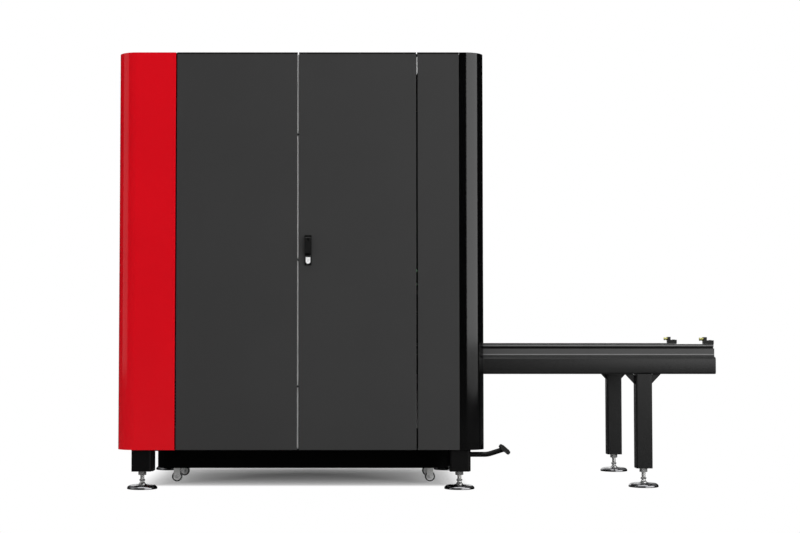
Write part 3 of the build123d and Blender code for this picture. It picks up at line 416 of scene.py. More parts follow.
def loft(mesh, rings, looped=False):
    made = [[mesh.verts.new(point) for point in ring] for ring in rings]
    pairs = list(zip(made, made[1:]))
    if looped:
        pairs.append((made[-1], made[0]))
    count = len(rings[0])
    for low, high in pairs:
        for step in range(count):
            after = (step + 1) % count
            mesh.faces.new((low[step], low[after], high[after], high[step]))
    if not looped:
        mesh.faces.new(made[0][::-1])
        mesh.faces.new(made[-1])


def lay(outline, levels, place, shift):
    rings = []
    for inset, height in levels:
        rings.append([place @ Vector((x + shift[0], y + shift[1], height)) for x, y in outline(inset)])
    return rings


def stack(mesh, outline, levels, place, shift=(0, 0)):
    loft(mesh, lay(outline, levels, place, shift))


def hoop(mesh, outline, section, place, shift=(0, 0)):
    loft(mesh, lay(outline, section, place, shift), True)


def tube(mesh, points, radius, place, steps=12):
    path = [Vector(point) for point in points]
    side = Vector((0.31, 0.59, 0.74))
    rings = []
    for index, point in enumerate(path):
        before = path[max(index - 1, 0)]
        after = path[min(index + 1, len(path) - 1)]
        along = (after - before).normalized()
        across = (side - along * side.dot(along)).normalized()
        up = along.cross(across)
        ring = []
        for turn in full_turn(steps):
            ring.append(place @ (point + across * radius * math.cos(turn) + up * radius * math.sin(turn)))
        rings.append(ring)
    loft(mesh, rings)


def bend(corner, before, after, radius, steps=5):
    corner = Vector(corner)
    start = corner + (Vector(before) - corner).normalized() * radius
    end = corner + (Vector(after) - corner).normalized() * radius
    points = []
    for step in range(steps + 1):
        share = step / steps
        points.append(start.lerp(corner, share).lerp(corner.lerp(end, share), share))
    return points


SHARP_ANGLE = math.radians(32)


def piece(name, mesh, body, slot, stands_for=(), finish=None):
    bmesh.ops.recalc_face_normals(mesh, faces=mesh.faces)
    data = bpy.data.meshes.new(name)
    mesh.to_mesh(data)
    mesh.free()
    data.materials.append(finish or FINISH[slot])
    for face in data.polygons:
        face.use_smooth = True
    data.set_sharp_from_angle(angle=SHARP_ANGLE)
    obj = add_object(name, data)
    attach(obj, body)
    for node in stands_for:
        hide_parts(node)


# Feet, stand and underside
FEET = [(x, y, 81) for x in POST_XS for y in POST_YS] + [(LEG_X, y, 87) for y in STAND_YS]
THREAD_PITCH = 2.0
THREAD_START = 44.0


def levelling_studs():
    mesh = bmesh.new()
    for x, y, foot in FEET:
        place = spot(x, y, 0)
        stack(mesh, circle(17.5, 32), [(0, 20.5), (0.4, 22.5), (3.2, 25), (6.6, 30), (8.6, 34), (9, 36)], place)
        stack(mesh, hexagon(23), [(1.6, 35.5), (0, 36.6), (0, 43), (1.6, 44.2)], place)
        levels = []
        height = THREAD_START
        while height < foot - 17:
            levels += [(1.2, height), (0, height + THREAD_PITCH / 2)]
            height += THREAD_PITCH
        stack(mesh, circle(9.6), levels, place)
        stack(mesh, hexagon(32), [(2, foot - 18.5), (0, foot - 17.2), (0, foot - 4.4), (2, foot - 3)], place)
        stack(mesh, circle(19.5, 32), [(0.5, foot - 3), (0, foot - 2.5), (0, foot - 0.4), (0.3, foot)], place)
    piece("levelling_studs", mesh, "machine", "zinc", ["levelling_screws"])


PAD_SECTION = [(1.0, 0), (0, 1.0), (0, 6), (2.0, 10), (8.5, 15.4), (11.5, 16.6), (30, 17.6), (45, 18.8),
               (50, 20.2), (51.4, 20.8)]


def pads():
    mesh = bmesh.new()
    for x, y, _ in FEET:
        stack(mesh, circle(69, 64), PAD_SECTION, spot(x, y, 0))
    piece("pad_discs", mesh, "machine", "dark_chrome", ["levelling_pads"])


# Thickness by the post face that each plate lies on
POST_PLATES = {-1198.5: 9.5, 253.5: 4.5}
PLATE_LEVEL = 134


def post_plates():
    mesh = bmesh.new()
    for face, thick in POST_PLATES.items():
        levels = [(0, -1), (0, thick - 0.9), (0.9, thick)]
        for y in POST_YS:
            stack(mesh, rounded(74, 104, 5), levels, spot(face, y, PLATE_LEVEL, "front"))
    piece("post_plates", mesh, "machine", "frame_paint")


GUSSET_TOP = 522
LEG_HALF = 37.5


def bead(mesh, start, end, steps=22, sides=8):
    start, end = Vector(start), Vector(end)
    along = (end - start).normalized()
    across = Vector((0, 1, 0))
    up = along.cross(across)
    rings = []
    for step in range(steps + 1):
        size = 1.0 if step in (0, steps) else 2.4 + 0.35 * math.sin(step * 1.9)
        centre = start.lerp(end, step / steps)
        rings.append([(centre + (across * math.cos(turn) + up * math.sin(turn)) * size) * MM
                      for turn in full_turn(sides)])
    loft(mesh, rings)


def weld_beads():
    mesh = bmesh.new()
    for y in STAND_YS:
        for way in (-1, 1):
            face = LEG_X + way * LEG_HALF
            for side in (y - 5, y + 5):
                bead(mesh, (face + way * 10, side, GUSSET_TOP - 1), (face + way * 44, side, GUSSET_TOP - 1))
                bead(mesh, (face + way * 1, side, GUSSET_TOP - 10), (face + way * 1, side, GUSSET_TOP - 47))
    piece("weld_beads", mesh, "machine", "stand_paint")


BEAM_HALF_WIDTH, BEAM_HALF_HEIGHT = 35, 40
BEAM_CORNERS = ((1, 1, 15), (-1, 1, 15), (-1, -1, 8), (1, -1, 8))
BEAM_LENGTH, BEAM_WALL = 1075, 4
CROSS_TUBES = ((1031, 1106), (1332.5, 1400))
CROSS_START, CROSS_LENGTH = -401, 802


def beam_section(inset=0):
    points = []
    for quarter, (sign_y, sign_z, corner) in enumerate(BEAM_CORNERS):
        for step in range(7):
            turn = math.pi / 2 * (quarter + step / 6)
            points.append((sign_y * (BEAM_HALF_WIDTH - corner) + (corner - inset) * math.cos(turn),
                           sign_z * (BEAM_HALF_HEIGHT - corner) + (corner - inset) * math.sin(turn)))
    return points


def beam_caps():
    mesh = bmesh.new()
    for y in STAND_YS:
        levels = [(0.2, -6.5), (0.2, -3.2), (1.0, -1.6), (2.6, -0.5), (5.5, 0)]
        stack(mesh, beam_section, levels, spot(BEAM_END, y, BEAM_LEVEL, "front"))
    piece("beam_caps", mesh, "machine", "handle_black")


def beam_tubes():
    mesh = bmesh.new()
    section = [(0, 0), (0, BEAM_LENGTH), (BEAM_WALL, BEAM_LENGTH), (BEAM_WALL, 0)]
    for y in STAND_YS:
        hoop(mesh, beam_section, section, spot(FRONT_FACE, y, BEAM_LEVEL, "front"))
    for start, end in CROSS_TUBES:
        place = spot((start + end) / 2, CROSS_START, BEAM_LEVEL, "far")
        stack(mesh, rounded(end - start, 2 * BEAM_HALF_HEIGHT, 6), [(0, 0), (0, CROSS_LENGTH)], place)
    piece("beam_tubes", mesh, "machine", "stand_paint", ["stand_beams"])


STOP_X, STOP_TOP = 1383, 678


def stop_screws():
    mesh = bmesh.new()
    section = [(0, -0.5), (0, 0.6), (0.6, 1.2), (2.4, 1.2), (2.9, 0.2), (2.9, -0.5)]
    for y in STAND_YS:
        for side in (-9, 9):
            hoop(mesh, circle(5.5), section, spot(STOP_X, y + side, STOP_TOP))
    piece("stop_screws", mesh, "machine", "black_steel")


# Trim and seals along the seams: spots of the tabs, far seals by width, middles, ends and lengths of the trim
SEAM_TABS = ((REAR_SEAM, -562, 1992.6, "near"), (FRONT_SEAM, -562, 1987.4, "near"),
             (REAR_SEAM, 562, 1987.4, "far"))
SEAL_WIDTHS = {MIDDLE_SEAM: 5, FRONT_SEAM: 8}
SEAL_LEVEL, SEAL_LENGTH = 1091, 1806
EDGE_FOOT, EDGE_TOP = 188, 1994
HINGE_EDGE_LEVEL, HINGE_EDGE_LENGTH = 1940.5, 77
STRIP_SEAL_LEVEL, STRIP_SEAL_LENGTH = 1046, 1712
TRIMMED = {"left_door": "left_leaf", "right_door": "right_leaf", "side_strip_near": "machine"}


def seam_tabs():
    mesh = bmesh.new()
    for tab in SEAM_TABS:
        stack(mesh, rounded(26, 20, 2), [(0, -4), (0, 0), (0.6, 0.6)], spot(*tab))
    piece("seam_tabs", mesh, "machine", "frame_paint")
    mesh = bmesh.new()
    levels = [(0.4, -14), (0, -13), (0, -4), (0.8, -2.6)]
    for x, width in SEAL_WIDTHS.items():
        stack(mesh, rounded(width, SEAL_LENGTH, 1.2), levels, spot(x, SIDE_FACE, SEAL_LEVEL, "far"))
    piece("seam_seals", mesh, "machine", "pedal_rubber")


def top_trims():
    for node, body in TRIMMED.items():
        low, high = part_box(node)
        place = spot(low[0] / MM, -SIDE_FACE + 2.2, ROOF_TOP - 3.6, "front")
        length = (high[0] - low[0]) / MM
        mesh = bmesh.new()
        stack(mesh, rounded(5.2, 8, 2), [(0.8, 0.3), (0, 1), (0, length - 1), (0.8, length - 0.3)], place)
        piece(node + "_top_trim", mesh, body, "cart_paint")


def edge_trims():
    # The pale trim on the left leaf's edge draws the light line in the middle seam: partly an aluminium trim,
    # partly a painted highlight for the seam's edge highlight
    mesh = bmesh.new()
    for low, high in zip((EDGE_FOOT,) + LOCK_TONGUES, LOCK_TONGUES + (EDGE_TOP,)):
        place = spot(MIDDLE_SEAM - 2.65, 6 - SIDE_FACE, (low + high) / 2, "near")
        stack(mesh, rounded(0.9, high - low - 8, 0.3), [(0.2, -6), (0, -5.8), (0, 5.2), (0.2, 5.5)], place)
    piece("left_edge_trim_and_seam_highlight", mesh, "left_leaf", "strip_aluminium")
    mesh = bmesh.new()
    place = spot(FRONT_SEAM + 1.5, 0.7 - SIDE_FACE, HINGE_EDGE_LEVEL, "near")
    stack(mesh, rounded(2.0, HINGE_EDGE_LENGTH, 0.5), [(0.3, -6), (0, -5.6), (0, 0), (0.3, 0.4)], place)
    piece("hinge_leaf_edge", mesh, "machine", "lock_chrome")
    mesh = bmesh.new()
    for z in LOCK_TONGUES:
        place = spot(MIDDLE_SEAM - 1.4, -SIDE_FACE, z + 2, "near")
        stack(mesh, rounded(4.8, 9, 1.2), [(0.3, -3.6), (0, -3.2), (0, -0.6), (0.5, -0.2)], place)
    piece("door_buffers", mesh, "left_leaf", "cart_paint")
    mesh = bmesh.new()
    place = spot(FRONT_SEAM + 3.5, -SIDE_FACE, STRIP_SEAL_LEVEL, "near")
    stack(mesh, rounded(2.4, STRIP_SEAL_LENGTH, 1), [(0.3, -0.5), (0, 0.1), (0.5, 0.4)], place)
    piece("strip_edge_seal", mesh, "machine", "cart_paint")


# Slag cart
BIN_LENGTH, BIN_WIDTH, BIN_CORNER, BIN_RIM = 1384, 604, 62, 167.3
CART_FRONT, BUMPER_LEVEL = 170, 123


def bin_hem():
    mesh = bmesh.new()
    hoop(mesh, rounded(BIN_LENGTH, BIN_WIDTH, BIN_CORNER, 8), wire(1.2, BIN_RIM, 2.6, 8), spot(MIDDLE, 0, 0))
    piece("bin_hem", mesh, "cart", "cart_paint")
    mesh = bmesh.new()
    levels = [(0, -1), (0, 19), (1.2, 22), (4, 23)]
    stack(mesh, rounded(490, 90, 10), levels, spot(CART_FRONT, 0, BUMPER_LEVEL, "front"))
    piece("cart_bumper", mesh, "cart", "cart_paint")


WHEEL_SECTION = [(0.0, -7), (0.0, 7), (0.6, 9.2), (2.2, 10.5), (6.4, 10.5), (7.1, 9.4), (7.1, -9.4),
                 (6.4, -10.5), (2.2, -10.5), (0.6, -9.2)]


def caster_tyres():
    for end, x in CASTER_XS.items():
        mesh = bmesh.new()
        for y in CASTER_YS:
            hoop(mesh, circle(25.3, 40), WHEEL_SECTION, spot(x, y, WHEEL_LEVEL, "near"))
        piece(end + "_tyres", mesh, f"cart_{end}_wheels", "cart_paint")


def axle_nuts():
    mesh = bmesh.new()
    for x in CASTER_XS.values():
        for y in CASTER_YS:
            for facing, way in (("near", -1), ("far", 1)):
                place = spot(x, y + way * 14, WHEEL_LEVEL, facing)
                stack(mesh, circle(8.5), [(0.3, 0), (0, 0.3), (0, 1.2), (0.3, 1.5)], place)
                stack(mesh, hexagon(12), [(0, 1.4), (0, 5), (1, 6.2)], place)
                stack(mesh, circle(3.8), [(0, 6), (0, 7.2), (0.9, 8)], place)
    piece("axle_nuts", mesh, "cart", "lock_chrome")


# Foot pedal: its tube starts inside the boss, clear of the pin
PEDAL_X, PEDAL_Y, PEDAL_LEVEL = 227.5, -455, 151
PEDAL_START = (236.5, PEDAL_Y, PEDAL_LEVEL)
PEDAL_BEND = (344.5, PEDAL_Y, PEDAL_LEVEL)
PEDAL_END = (420.5, PEDAL_Y, 175)
PEDAL_TUBE = 11.8
PAD_CENTRE = (422.5, PEDAL_Y, 174)
PAD_TILT = math.radians(41)


def pedal_trim():
    mesh = bmesh.new()
    curve = bend(PEDAL_BEND, PEDAL_START, PEDAL_END, 16)
    tube(mesh, [PEDAL_START] + curve + [PEDAL_END], PEDAL_TUBE, Matrix.Scale(MM, 4), 24)
    boss = [(0.8, 0), (0, 0.8), (0, 23.2), (0.8, 24), (9.5, 24), (9.5, 0)]
    hoop(mesh, circle(15, 32), boss, spot(PEDAL_X, PEDAL_Y + 12, PEDAL_LEVEL, "near"))
    piece("pedal_arm", mesh, "pedal", "frame_paint", ["pedal_lever"], OWN_FINISH["pedal_lever"])
    mesh = bmesh.new()
    tilt = Matrix.Rotation(PAD_TILT, 4, "Y")
    place = Matrix.Translation(Vector(PAD_CENTRE) * MM) @ tilt @ Matrix.Scale(MM, 4)
    for x in (-14, -7, 0, 7, 14):
        stack(mesh, rounded(3.4, 80, 1.6, 3), [(0, 9.6), (0, 10.7), (0.9, 11.5)], place, (x, 0))
    piece("pedal_ribs", mesh, "pedal", "pedal_rubber")
    mesh = bmesh.new()
    for facing, way in (("near", -1), ("far", 1)):
        place = spot(PEDAL_X, PEDAL_Y + way * 16.5, PEDAL_LEVEL, facing)
        stack(mesh, circle(8), [(0, -0.3), (0, 2), (0.8, 3), (3, 3.8), (6, 4)], place)
    piece("pedal_pin_heads", mesh, "machine", "zinc")


# Rear face
HOOD_ENDS = ((-1, 0.12), (-0.985, 0.55), (-0.965, 0.85), (-0.93, 1), (0.93, 1), (0.965, 0.85), (0.985, 0.55),
             (1, 0.12))
LOUVRE_ROWS = (560, 1500)
LOUVRE_PITCH = 26


def hood(mesh, place, width, drop, depth, wall=1.2, steps=5):
    turns = [math.pi / 2 * step / steps for step in range(steps + 1)]
    rings = []
    for share, size in HOOD_ENDS:
        outer = [(drop * size * math.cos(turn), depth * size * math.sin(turn)) for turn in turns]
        low, shallow = max(drop * size - wall, 0.3), max(depth * size - wall, 0.2)
        inner = [(low * math.cos(turn), shallow * math.sin(turn)) for turn in reversed(turns)]
        x = share * width / 2
        rings.append([place @ Vector((x, up, out)) for up, out in outer + inner])
    loft(mesh, rings)


def rear_louvres():
    mesh = bmesh.new()
    for level in LOUVRE_ROWS:
        for row in range(10):
            hood(mesh, spot(REAR_FACE, 0, level + LOUVRE_PITCH * row - 1, "rear"), 440, 14, 8)
    piece("rear_louvres", mesh, "machine", "grey_panel")


FASTENER_LEVELS = (240, 1090, 1940)


def quarter_turns():
    places = [spot(REAR_FACE, y, z, "rear") for y in (-395, 395) for z in FASTENER_LEVELS]
    places += [spot(x, SIDE_FACE, z, "far") for x in (-1055, -565, -494, -22) for z in FASTENER_LEVELS]
    section = [(0, -0.2), (0, 1.2), (1.3, 2.6), (4.2, 2.9), (5.4, 1.6), (5.4, -0.2)]
    mesh = bmesh.new()
    for place in places:
        hoop(mesh, circle(14, 28), section, place)
        for side in (-1, 1):
            stack(mesh, half_disc(8.2, 2, side), [(0, -0.2), (0, 2.2), (0.7, 2.9)], place)
    piece("quarter_turns", mesh, "machine", "lock_chrome")


ROOF_FACE = 1992
ROOF_SCREWS = [(x, y) for x in (-1225, -870, -515, -160, 195) for y in (-535, 535)]
ROOF_SCREWS += [(x, y) for x in (-1300, 265) for y in (-300, 300)]


def roof_screws():
    mesh = bmesh.new()
    section = [(0, -0.3), (0, 1.2), (1.4, 2.6), (4.2, 3), (4.6, 1.2), (4.6, -0.3)]
    for x, y in ROOF_SCREWS:
        place = spot(x, y, ROOF_FACE)
        hoop(mesh, circle(7.5, 20), section, place)
        stack(mesh, hexagon(6), [(0, -0.2), (0, 0.8), (0.4, 1)], place)
    piece("roof_screws", mesh, "machine", "black_steel")


SPIGOT_CENTRE = (250, 320)
FLANGE_SCREWS = 112


def spigot_trim():
    mesh = bmesh.new()
    place = spot(REAR_FACE, *SPIGOT_CENTRE, "rear")
    hoop(mesh, circle(103.4, 72), wire(3.4, 37, 3, 10), place)
    for step in range(8):
        turn = math.pi / 4 * (step + 0.5)
        shift = (FLANGE_SCREWS * math.cos(turn), FLANGE_SCREWS * math.sin(turn))
        stack(mesh, circle(5, 16), [(0, 2.8), (0, 4.2), (1.2, 5.5), (3.2, 6.1)], place, shift)
    piece("spigot_trim", mesh, "machine", "zinc")


# Operator panel and front door
PANEL_Y = 342
SCREEN_LEVEL, BUTTON_LEVEL, EMERGENCY_LEVEL = 1480, 1200, 1060
WINDOW_CENTRE = (-140, 1330)
GRIP_Y = 150
GRIP_LEVELS = (1192, 1468)


def screen_bezel():
    mesh = bmesh.new()
    section = [(0, 0), (0, 14.8), (1.6, 16.4), (9, 16.4), (12, 14.05), (2.8, 14.05), (2.8, 0)]
    hoop(mesh, rounded(205.6, 285.6, 14, 6), section, spot(FRONT_FACE, PANEL_Y, SCREEN_LEVEL, "front"))
    piece("screen_bezel", mesh, "machine", "handle_black")


def control_collars():
    mesh = bmesh.new()
    section = [(0, 0), (0, 3.2), (1, 4.6), (2.6, 4.6), (3.2, 3.8), (3.2, 0)]
    for y in (PANEL_Y - 31, PANEL_Y + 31):
        hoop(mesh, circle(18, 36), section, spot(FRONT_FACE, y, BUTTON_LEVEL, "front"))
    piece("button_collars", mesh, "machine", "zinc")
    mesh = bmesh.new()
    section = [(0, 0), (0.4, 1.6), (2, 2.6), (8.5, 3.2), (9.6, 2.2), (9.6, 0)]
    hoop(mesh, circle(32, 40), section, spot(FRONT_FACE, PANEL_Y, EMERGENCY_LEVEL, "front"))
    piece("emergency_collar", mesh, "machine", "yellow_zinc")


def window_gasket():
    mesh = bmesh.new()
    section = [(0, -0.1), (0.4, 3), (2.4, 4.6), (8.4, 4.6), (12, 2.4), (13.4, -1.7), (10.3, -1.7), (10.3, -0.1)]
    hoop(mesh, rounded(446, 536, 40, 8), section, spot(FRONT_FACE, *WINDOW_CENTRE, "front"))
    piece("window_gasket", mesh, "window_door", "pedal_rubber")


def grip_collars():
    mesh = bmesh.new()
    section = [(0, -0.1), (0, 2.6), (1.6, 4.6), (4.3, 5), (4.8, 4.4), (4.8, -0.1)]
    for z in GRIP_LEVELS:
        hoop(mesh, circle(14, 32), section, spot(FRONT_FACE, GRIP_Y, z, "front"))
    piece("grip_collars", mesh, "window_door", "zinc")


# Lock
def lock_face():
    low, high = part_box("lock_cylinder")
    x = (low[0] + high[0]) / 2 / MM
    z = (low[2] + high[2]) / 2 / MM - 2
    place = spot(x, low[1] / MM, z, "near")
    mesh = bmesh.new()
    section = [(0, -0.2), (0, 0.7), (0.7, 1.3), (2.2, 1.3), (2.8, 0.3), (2.8, -0.2)]
    hoop(mesh, circle(8.4, 32), section, place)
    piece("lock_ring", mesh, "right_leaf", "lock_chrome")
    mesh = bmesh.new()
    stack(mesh, rounded(1.5, 6.4, 0.7, 3), [(0, -0.2), (0, 0.25), (0.3, 0.4)], place)
    # A black cap over the top of the lock: a painted shadow, standing in for the shade under the lever's end
    top = spot(x, low[1] / MM, high[2] / MM - 3.6, "near")
    stack(mesh, rounded((high[0] - low[0]) / MM + 1, 9.4, 3.5), [(0, -5), (0, 0.5), (0.7, 1.1)], top)
    piece("key_slot_and_shadow_cap", mesh, "right_leaf", "handle_black")


# Control gear behind the left door
SOCKET = [(0, -0.2), (0, 2.8), (0.8, 3.6), (2.8, 3.6), (3.6, 0.4), (3.6, -0.2)]
BEZEL = [(0, -0.2), (0, 1.4), (1, 2.2), (4, 2.2), (5, 0.5), (5, -0.2)]
DRIVE_START, DRIVE_PITCH, DRIVE_FRONT, DRIVE_LEVEL = -1043, 96, -410, 1290.06
BREAKER_START, BREAKER_PITCH, BREAKER_FRONT, BREAKER_LEVEL = -1083, 46, -322, 1639.5
CONTROLLER_SPOT = (-899, -340, 920.2)
CHILLER_SPOT = (-901.5, -480, 263)
LASER_SPOT = (-901.5, -480, 513)


def drive_details():
    sockets, windows, blocks, screws = bmesh.new(), bmesh.new(), bmesh.new(), bmesh.new()
    for row in range(4):
        place = spot(DRIVE_START + DRIVE_PITCH * row, DRIVE_FRONT, DRIVE_LEVEL, "near")
        hoop(sockets, rounded(50, 26, 3), BEZEL, place, (0, 200))
        stack(windows, rounded(40, 16, 1), [(0, -0.2), (0, 0.3), (0.5, 0.6)], place, (0, 200))
        for x in (-18, -6, 6, 18):
            stack(sockets, rounded(8.5, 6, 1.6, 3), [(0, -0.2), (0, 1), (0.9, 1.7)], place, (x, 178))
        for y in (58, 82, 106, 130):
            hoop(sockets, rounded(36, 18, 2, 3), SOCKET, place, (0, y))
            stack(sockets, rounded(22, 5, 0.8, 2), [(0, -0.2), (0, 1.6), (0.5, 2)], place, (0, y))
        for y in (150, 155, 160, 165):
            stack(sockets, rounded(46, 2.2, 1, 2), [(0, -0.2), (0, 0.8), (0.6, 1.3)], place, (0, y))
        stack(blocks, rounded(56, 26, 2, 3), [(0, -0.2), (0, 9), (1.2, 10.4)], place, (0, 24))
        for x in (-21, -12.6, -4.2, 4.2, 12.6, 21):
            for side in (-1, 1):
                stack(screws, half_disc(3, 0.9, side, 6), [(0, 10), (0, 10.9), (0.3, 11.2)], place, (x, 28))
    piece("drive_sockets", sockets, "machine", "handle_black")
    piece("drive_windows", windows, "machine", "screen_black")
    piece("drive_terminals", blocks, "machine", "button_green")
    piece("terminal_screws", screws, "machine", "zinc")


def breaker_details():
    toggles, screws = bmesh.new(), bmesh.new()
    surround = [(0, -0.2), (0, 2.4), (0.8, 3.2), (3, 3.2), (3.8, 0.2), (3.8, -0.2)]
    toggle = ((10.4, 14, 46, -0.2), (10, 12, 48, 5), (9.4, 8, 51.5, 11), (8, 5.5, 52.5, 13))
    for row in range(9):
        place = spot(BREAKER_START + BREAKER_PITCH * row, BREAKER_FRONT, BREAKER_LEVEL, "near")
        hoop(toggles, rounded(19, 36, 3), surround, place, (0, 43))
        rings = []
        for width, tall, rise, out in toggle:
            rings.append([place @ Vector((x, y + rise, out)) for x, y in rounded(width, tall, 2, 3)()])
        loft(toggles, rings)
        for y in (9.5, 76.5):
            for side in (-1, 1):
                stack(screws, half_disc(5, 1.4, side, 8), [(0, -0.2), (0, 0.9), (0.5, 1.4)], place, (0, y))
    piece("breaker_toggles", toggles, "machine", "handle_black")
    piece("breaker_screws", screws, "machine", "zinc")


def controller_details():
    fins, ports = bmesh.new(), bmesh.new()
    place = spot(*CONTROLLER_SPOT, "near")
    for step in range(19):
        stack(fins, rounded(3.2, 152, 1.2, 2), [(0, -0.2), (0, 9), (0.9, 10)], place, (-150 + 7.6 * step, 95))
    for x in (45, 112):
        for y in (36, 75, 114, 153):
            hoop(ports, rounded(54, 20, 5), SOCKET, place, (x, y))
            stack(ports, rounded(40, 6, 2.6, 3), [(0, -0.2), (0, 1.8), (0.6, 2.4)], place, (x, y))
    piece("controller_fins", fins, "machine", "gantry_aluminium")
    piece("controller_ports", ports, "machine", "handle_black")


GRILLE_SLAT = ((0, 0.5), (5.5, 6), (6.5, 5.4), (1.2, -0.2))
GAUGE_SPOT = (150, 180)
FILLER_SPOT = (150, 90)


def chiller_details():
    grille, fittings, gauge = bmesh.new(), bmesh.new(), bmesh.new()
    place = spot(*CHILLER_SPOT, "near")
    surround = [(0, -0.2), (0, 5), (1.5, 6.5), (7, 6.5), (8.5, 5), (8.5, -0.2)]
    hoop(grille, rounded(310, 204, 12), surround, place, (-70, 125))
    for step in range(12):
        y = 36 + 15.2 * step
        loft(grille, [[place @ Vector((x, y + up, out)) for up, out in GRILLE_SLAT] for x in (-216, 76)])
    rim = [(0, -0.2), (0, 9), (1.5, 11), (3.4, 11), (4.4, 8), (4.4, -0.2)]
    hoop(fittings, circle(25, 36), rim, place, GAUGE_SPOT)
    stack(gauge, circle(20.8, 32), [(0, -0.2), (0, 6.4), (0.4, 6.8)], place, GAUGE_SPOT)
    cap = [(0, -0.2), (0, 3), (2, 4.4), (5, 4.8), (5, 12), (6.2, 14), (11, 15)]
    stack(fittings, circle(27, 30), cap, place, FILLER_SPOT)
    for turn in full_turn(15):
        shift = (FILLER_SPOT[0] + 21.6 * math.cos(turn), FILLER_SPOT[1] + 21.6 * math.sin(turn))
        stack(fittings, circle(2, 8), [(0, 4), (0, 12.4), (0.8, 13.2)], place, shift)
    piece("chiller_grille", grille, "machine", "handle_black")
    piece("chiller_fittings", fittings, "machine", "zinc")
    piece("chiller_gauge", gauge, "machine", "screen_black")


def laser_details():
    bows, vents, ports = bmesh.new(), bmesh.new(), bmesh.new()
    place = spot(*LASER_SPOT, "near")
    low, high, out = 45, 145, 30
    for x in (-212, 212):
        first = bend((x, low, out), (x, low, 0), (x, high, out), 12)
        second = bend((x, high, out), (x, low, out), (x, high, 0), 12)
        tube(bows, [(x, low, -0.2)] + first + second + [(x, high, -0.2)], 5, place)
        for y in (low, high):
            hoop(bows, circle(11), [(0, -0.2), (0, 2), (1, 3), (5.4, 3), (5.8, -0.2)], place, (x, y))
    slot = [(0, -0.2), (0, 1), (0.5, 1.5), (1.6, 1.5), (2, -0.2)]
    for step in range(9):
        hoop(vents, rounded(150, 7, 3, 3), slot, place, (-80, 42 + 13 * step))
    collar = [(0, -0.2), (0, 3), (1.2, 4.4), (3.6, 4.4), (4.4, 1), (4.4, -0.2)]
    for x, y in ((60, 130), (110, 130), (160, 130), (60, 75), (110, 75)):
        hoop(ports, circle(15, 28), collar, place, (x, y))
        stack(ports, circle(7, 18), [(0, -0.2), (0, 2.2), (1, 3)], place, (x, y))
    hoop(ports, rounded(46, 30, 4), SOCKET, place, (160, 75))
    piece("laser_bow_handles", bows, "machine", "zinc")
    piece("laser_vents", vents, "machine", "unit_grey")
    piece("laser_ports", ports, "machine", "handle_black")


# Gantry and head
RAIL_BOLT_X, RAIL_BOLT_START, RAIL_BOLT_PITCH = -115.5, -448, 64
CARRIAGE_X = -93.5
HEAD_X = 8.8


def gantry_details():
    bolts = bmesh.new()
    section = [(0, -0.4), (0, 0.15), (0.4, 0.22), (1.8, 0.22), (2.2, -0.4)]
    for z in (954, 1035.2):
        for step in range(15):
            y = RAIL_BOLT_START + RAIL_BOLT_PITCH * step
            hoop(bolts, circle(4.4, 16), section, spot(RAIL_BOLT_X, y, z, "front"))
    piece("head_rail_bolts", bolts, "gantry", "black_steel")
    screws = bmesh.new()
    section = [(0, -0.2), (0, 4.2), (0.7, 5), (2.2, 5), (2.6, 2), (2.6, -0.2)]
    for y in (-60, 60):
        for z in (946, 975, 1016, 1046):
            hoop(screws, circle(5, 20), section, spot(CARRIAGE_X, y, z, "front"))
    piece("carriage_screws", screws, "cross_carriage", "black_steel")


def head_details():
    rings, fittings = bmesh.new(), bmesh.new()
    section = [(0.8, 0), (0, 0.8), (0, 11.2), (0.8, 12), (3.4, 12), (3.4, 0)]
    for z in (948, 1012):
        hoop(rings, knurled(34, 72, 0.5), section, spot(HEAD_X, 0, z))
    stack(rings, hexagon(34), [(1.6, 1110), (0, 1111.2), (0, 1120), (1.6, 1121.5)], spot(HEAD_X, 0, 0))
    piece("head_rings", rings, "laser_head", "lock_chrome")
    place = spot(HEAD_X, -29, 896, "near")
    stack(fittings, hexagon(16), [(0, -0.2), (0, 6), (1.2, 7)], place)
    corner = bend((0, 0, 20), (0, 0, 6), (0, 30, 20), 8)
    tube(fittings, [(0, 0, 6)] + corner + [(0, 18, 20)], 5, place)
    mouth = place @ Matrix.Translation((0, 17, 20)) @ Matrix.Rotation(-math.pi / 2, 4, "X")
    hoop(fittings, circle(6.6, 20), [(0, 0), (0, 5), (0.8, 6), (2.4, 6), (2.8, 0)], mouth)
    piece("head_fittings", fittings, "laser_head", "zinc")


# Studio
def background(tree):
    node = tree.nodes.new("ShaderNodeBackground")
    node.inputs["Color"].default_value = WHITE
    return node


